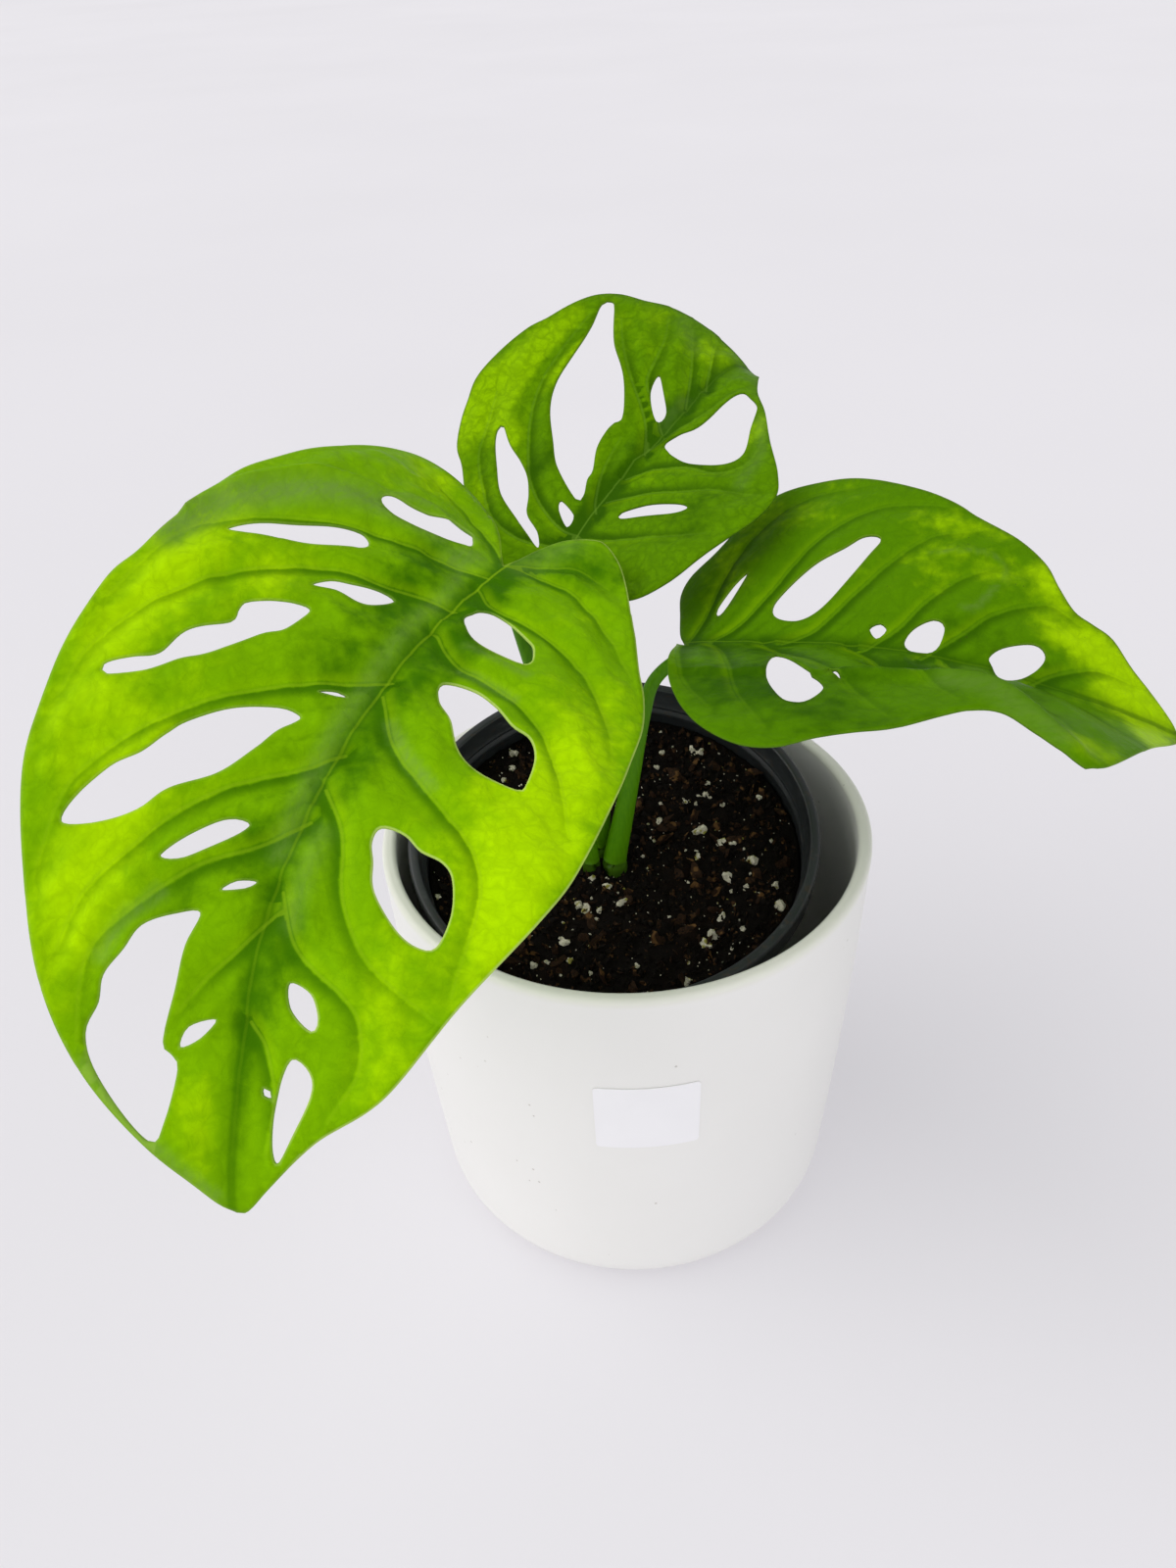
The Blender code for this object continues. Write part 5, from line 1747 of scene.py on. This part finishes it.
def bare_soil_top():
    """The soil's upper side, with the share of room for grains at each point."""
    level = nursery_height() - SOIL_DEPTH
    back = nursery_matrix().inverted()
    shape = open_mesh(soil.data)
    low = [f for f in shape.faces if min((back @ v.co).z for v in f.verts) < (level - 6) * MM]
    bmesh.ops.delete(shape, geom=low, context="FACES")
    mesh = close_mesh(shape, bpy.data.meshes.new("soil_top"))
    feet = [(petiole_foot(petiole) * MM, (petiole["radii"][0] + 0.3) * MM)
            for petiole in PETIOLES.values()]
    outer = nursery_inner_radius(level) * MM
    room = []
    for vertex in mesh.vertices:
        local = back @ vertex.co
        away = min((vertex.co - foot).length - radius for foot, radius in feet)
        wall = outer - math.hypot(local.x, local.y)
        room.append(1.0 if away > 0 and wall > 1.4 * MM else 0.0)
    layer = mesh.attributes.new("room", "FLOAT", "POINT")
    layer.data.foreach_set("value", room)
    return mesh


# %% Finishes of the grains


def grain_paint(name, dark, light, odd, scale, rough):
    """A grain's finish: three tones, one to each grain or so, and a pitted skin."""
    paint = Paint(name, {"Specular IOR Level": 0.15})
    place = paint.place()
    tone = paint.noise(place, scale, 1.0)
    pit = paint.noise(place, scale * 6, 4.0, 0.7)
    colour = paint.mix(paint.step(pit, 0.3, 0.7), dark, light)
    colour = paint.mix(paint.step(tone, 0.58, 0.66), colour, odd)
    roughness = paint.step(pit, 0.2, 0.8, rough - 0.1, rough)
    return paint.finish(colour, roughness, paint.bump(pit, 0.25, 0.8))


PERLITE = grain_paint("perlite", (0.42, 0.38, 0.27), (0.76, 0.72, 0.60), (0.30, 0.28, 0.06),
                      420.0, 0.9)
BARK = grain_paint("bark_chip", (0.008, 0.004, 0.002), (0.038, 0.017, 0.007),
                   (0.12, 0.060, 0.02), 300.0, 0.9)
CRUMB = grain_paint("peat_crumb", (0.0006, 0.0004, 0.0003), (0.007, 0.004, 0.002),
                    (0.050, 0.024, 0.009), 420.0, 0.95)
print("grain finishes ready")

# %% Strew the three kinds of grain
TOP = bare_soil_top()
LIFT = 0.1 * MM
KINDS = (
    ("peat_crumbs", CRUMB, make_grains("crumb", 5, [(1.3, 0.9, 0.8), (1, 1, 0.7)], 0.9, 1, 1),
     {"Density": 460000.0, "Smallest": 0.5, "Largest": 2.3, "Rarity": 2.6, "Lift": LIFT,
      "Seed": 4}),
    ("bark_chips", BARK, make_grains("chip", 5, [(2.2, 1.1, 0.4), (1.5, 1.2, 0.5)], 0.7, 2, 2),
     {"Density": 60000.0, "Smallest": 0.7, "Largest": 2.9, "Rarity": 3.2, "Lift": LIFT,
      "Seed": 9}),
    ("perlite_grains", PERLITE, make_grains("bead", 6, [(1.15, 1, 0.9), (1, 0.9, 1)], 0.5, 2, 3),
     {"Density": 46000.0, "Smallest": 0.40, "Largest": 3.5, "Rarity": 7.0, "Lift": LIFT,
      "Seed": 13}),
)
for name, material, lumps, values in KINDS:
    strewn = run_tree(new_piece(name, TOP.copy()), STREW,
                      {**values, "Grains": lumps, "Material": material})
    stand_for(strewn, "soil")
    for lump in list(lumps.objects):
        bpy.data.objects.remove(lump, do_unlink=True)
    bpy.data.collections.remove(lumps)

# %% [markdown]
# ## Floor and light
#
# The sheet under the plant is a pale lilac grey and runs on behind in an even tone. Real
# paper is never quite even, so a faint cloud and a fine tooth are in its finish. The light is
# that of a bright room: a broad window at the left, and softer light from the front.

# %% Floor


def floor_paint():
    """Matt pale backdrop that glows a little, so that the shadows on it stay faint."""
    paint = Paint("pale_backdrop", {"Emission Strength": 0.86})
    place = paint.place()
    cloud = paint.noise(place, 1.4, 3.0)
    colour = paint.mix(cloud, (0.405, 0.396, 0.414), (0.438, 0.428, 0.448))
    feed(paint.tree, paint.shader.inputs["Emission Color"], colour)
    return paint.finish(colour, 0.9, paint.bump(paint.noise(place, 300.0, 2.0), 0.05, 0.2))


def make_floor():
    """A wide flat sheet that runs past the top of the picture."""
    shape = bmesh.new()
    bmesh.ops.create_grid(shape, x_segments=4, y_segments=4, size=9.0)
    sheet = close_mesh(shape, bpy.data.meshes.new("backdrop"))
    return new_piece("backdrop", sheet, floor_paint())


floor = make_floor()
print("backdrop laid")

# %% Light
WINDOW_WHITE = (1.0, 0.99, 0.97)
WALL_WHITE = (0.98, 0.99, 1.0)


def add_sun(name, towards, power, spread, colour):
    """A far light, as soft as a window wall when its spread is wide."""
    lamp = bpy.data.lights.new(name, "SUN")
    lamp.energy = power
    lamp.angle = math.radians(spread)
    lamp.color = colour
    light = new_object(name, lamp)
    light.rotation_euler = Vector(towards).to_track_quat("-Z", "Y").to_euler()
    return light


world = bpy.data.worlds.new("room")
world.use_nodes = True
room_light = world.node_tree.nodes["Background"].inputs
room_light["Color"].default_value = (0.97, 0.98, 1.0, 1.0)
room_light["Strength"].default_value = 0.44
bpy.context.scene.world = world
add_sun("window", (0.60, 0.05, -0.80), 1.50, 64.0, WINDOW_WHITE)
add_sun("low_window", (0.87, 0.22, -0.44), 0.40, 50.0, WINDOW_WHITE)
add_sun("front_fill", (-0.20, 0.90, -0.35), 0.75, 90.0, WALL_WHITE)
add_sun("right_fill", (-0.85, 0.45, -0.30), 0.50, 90.0, WALL_WHITE)
bpy.context.scene.view_settings.view_transform = "Standard"
print("lights placed")
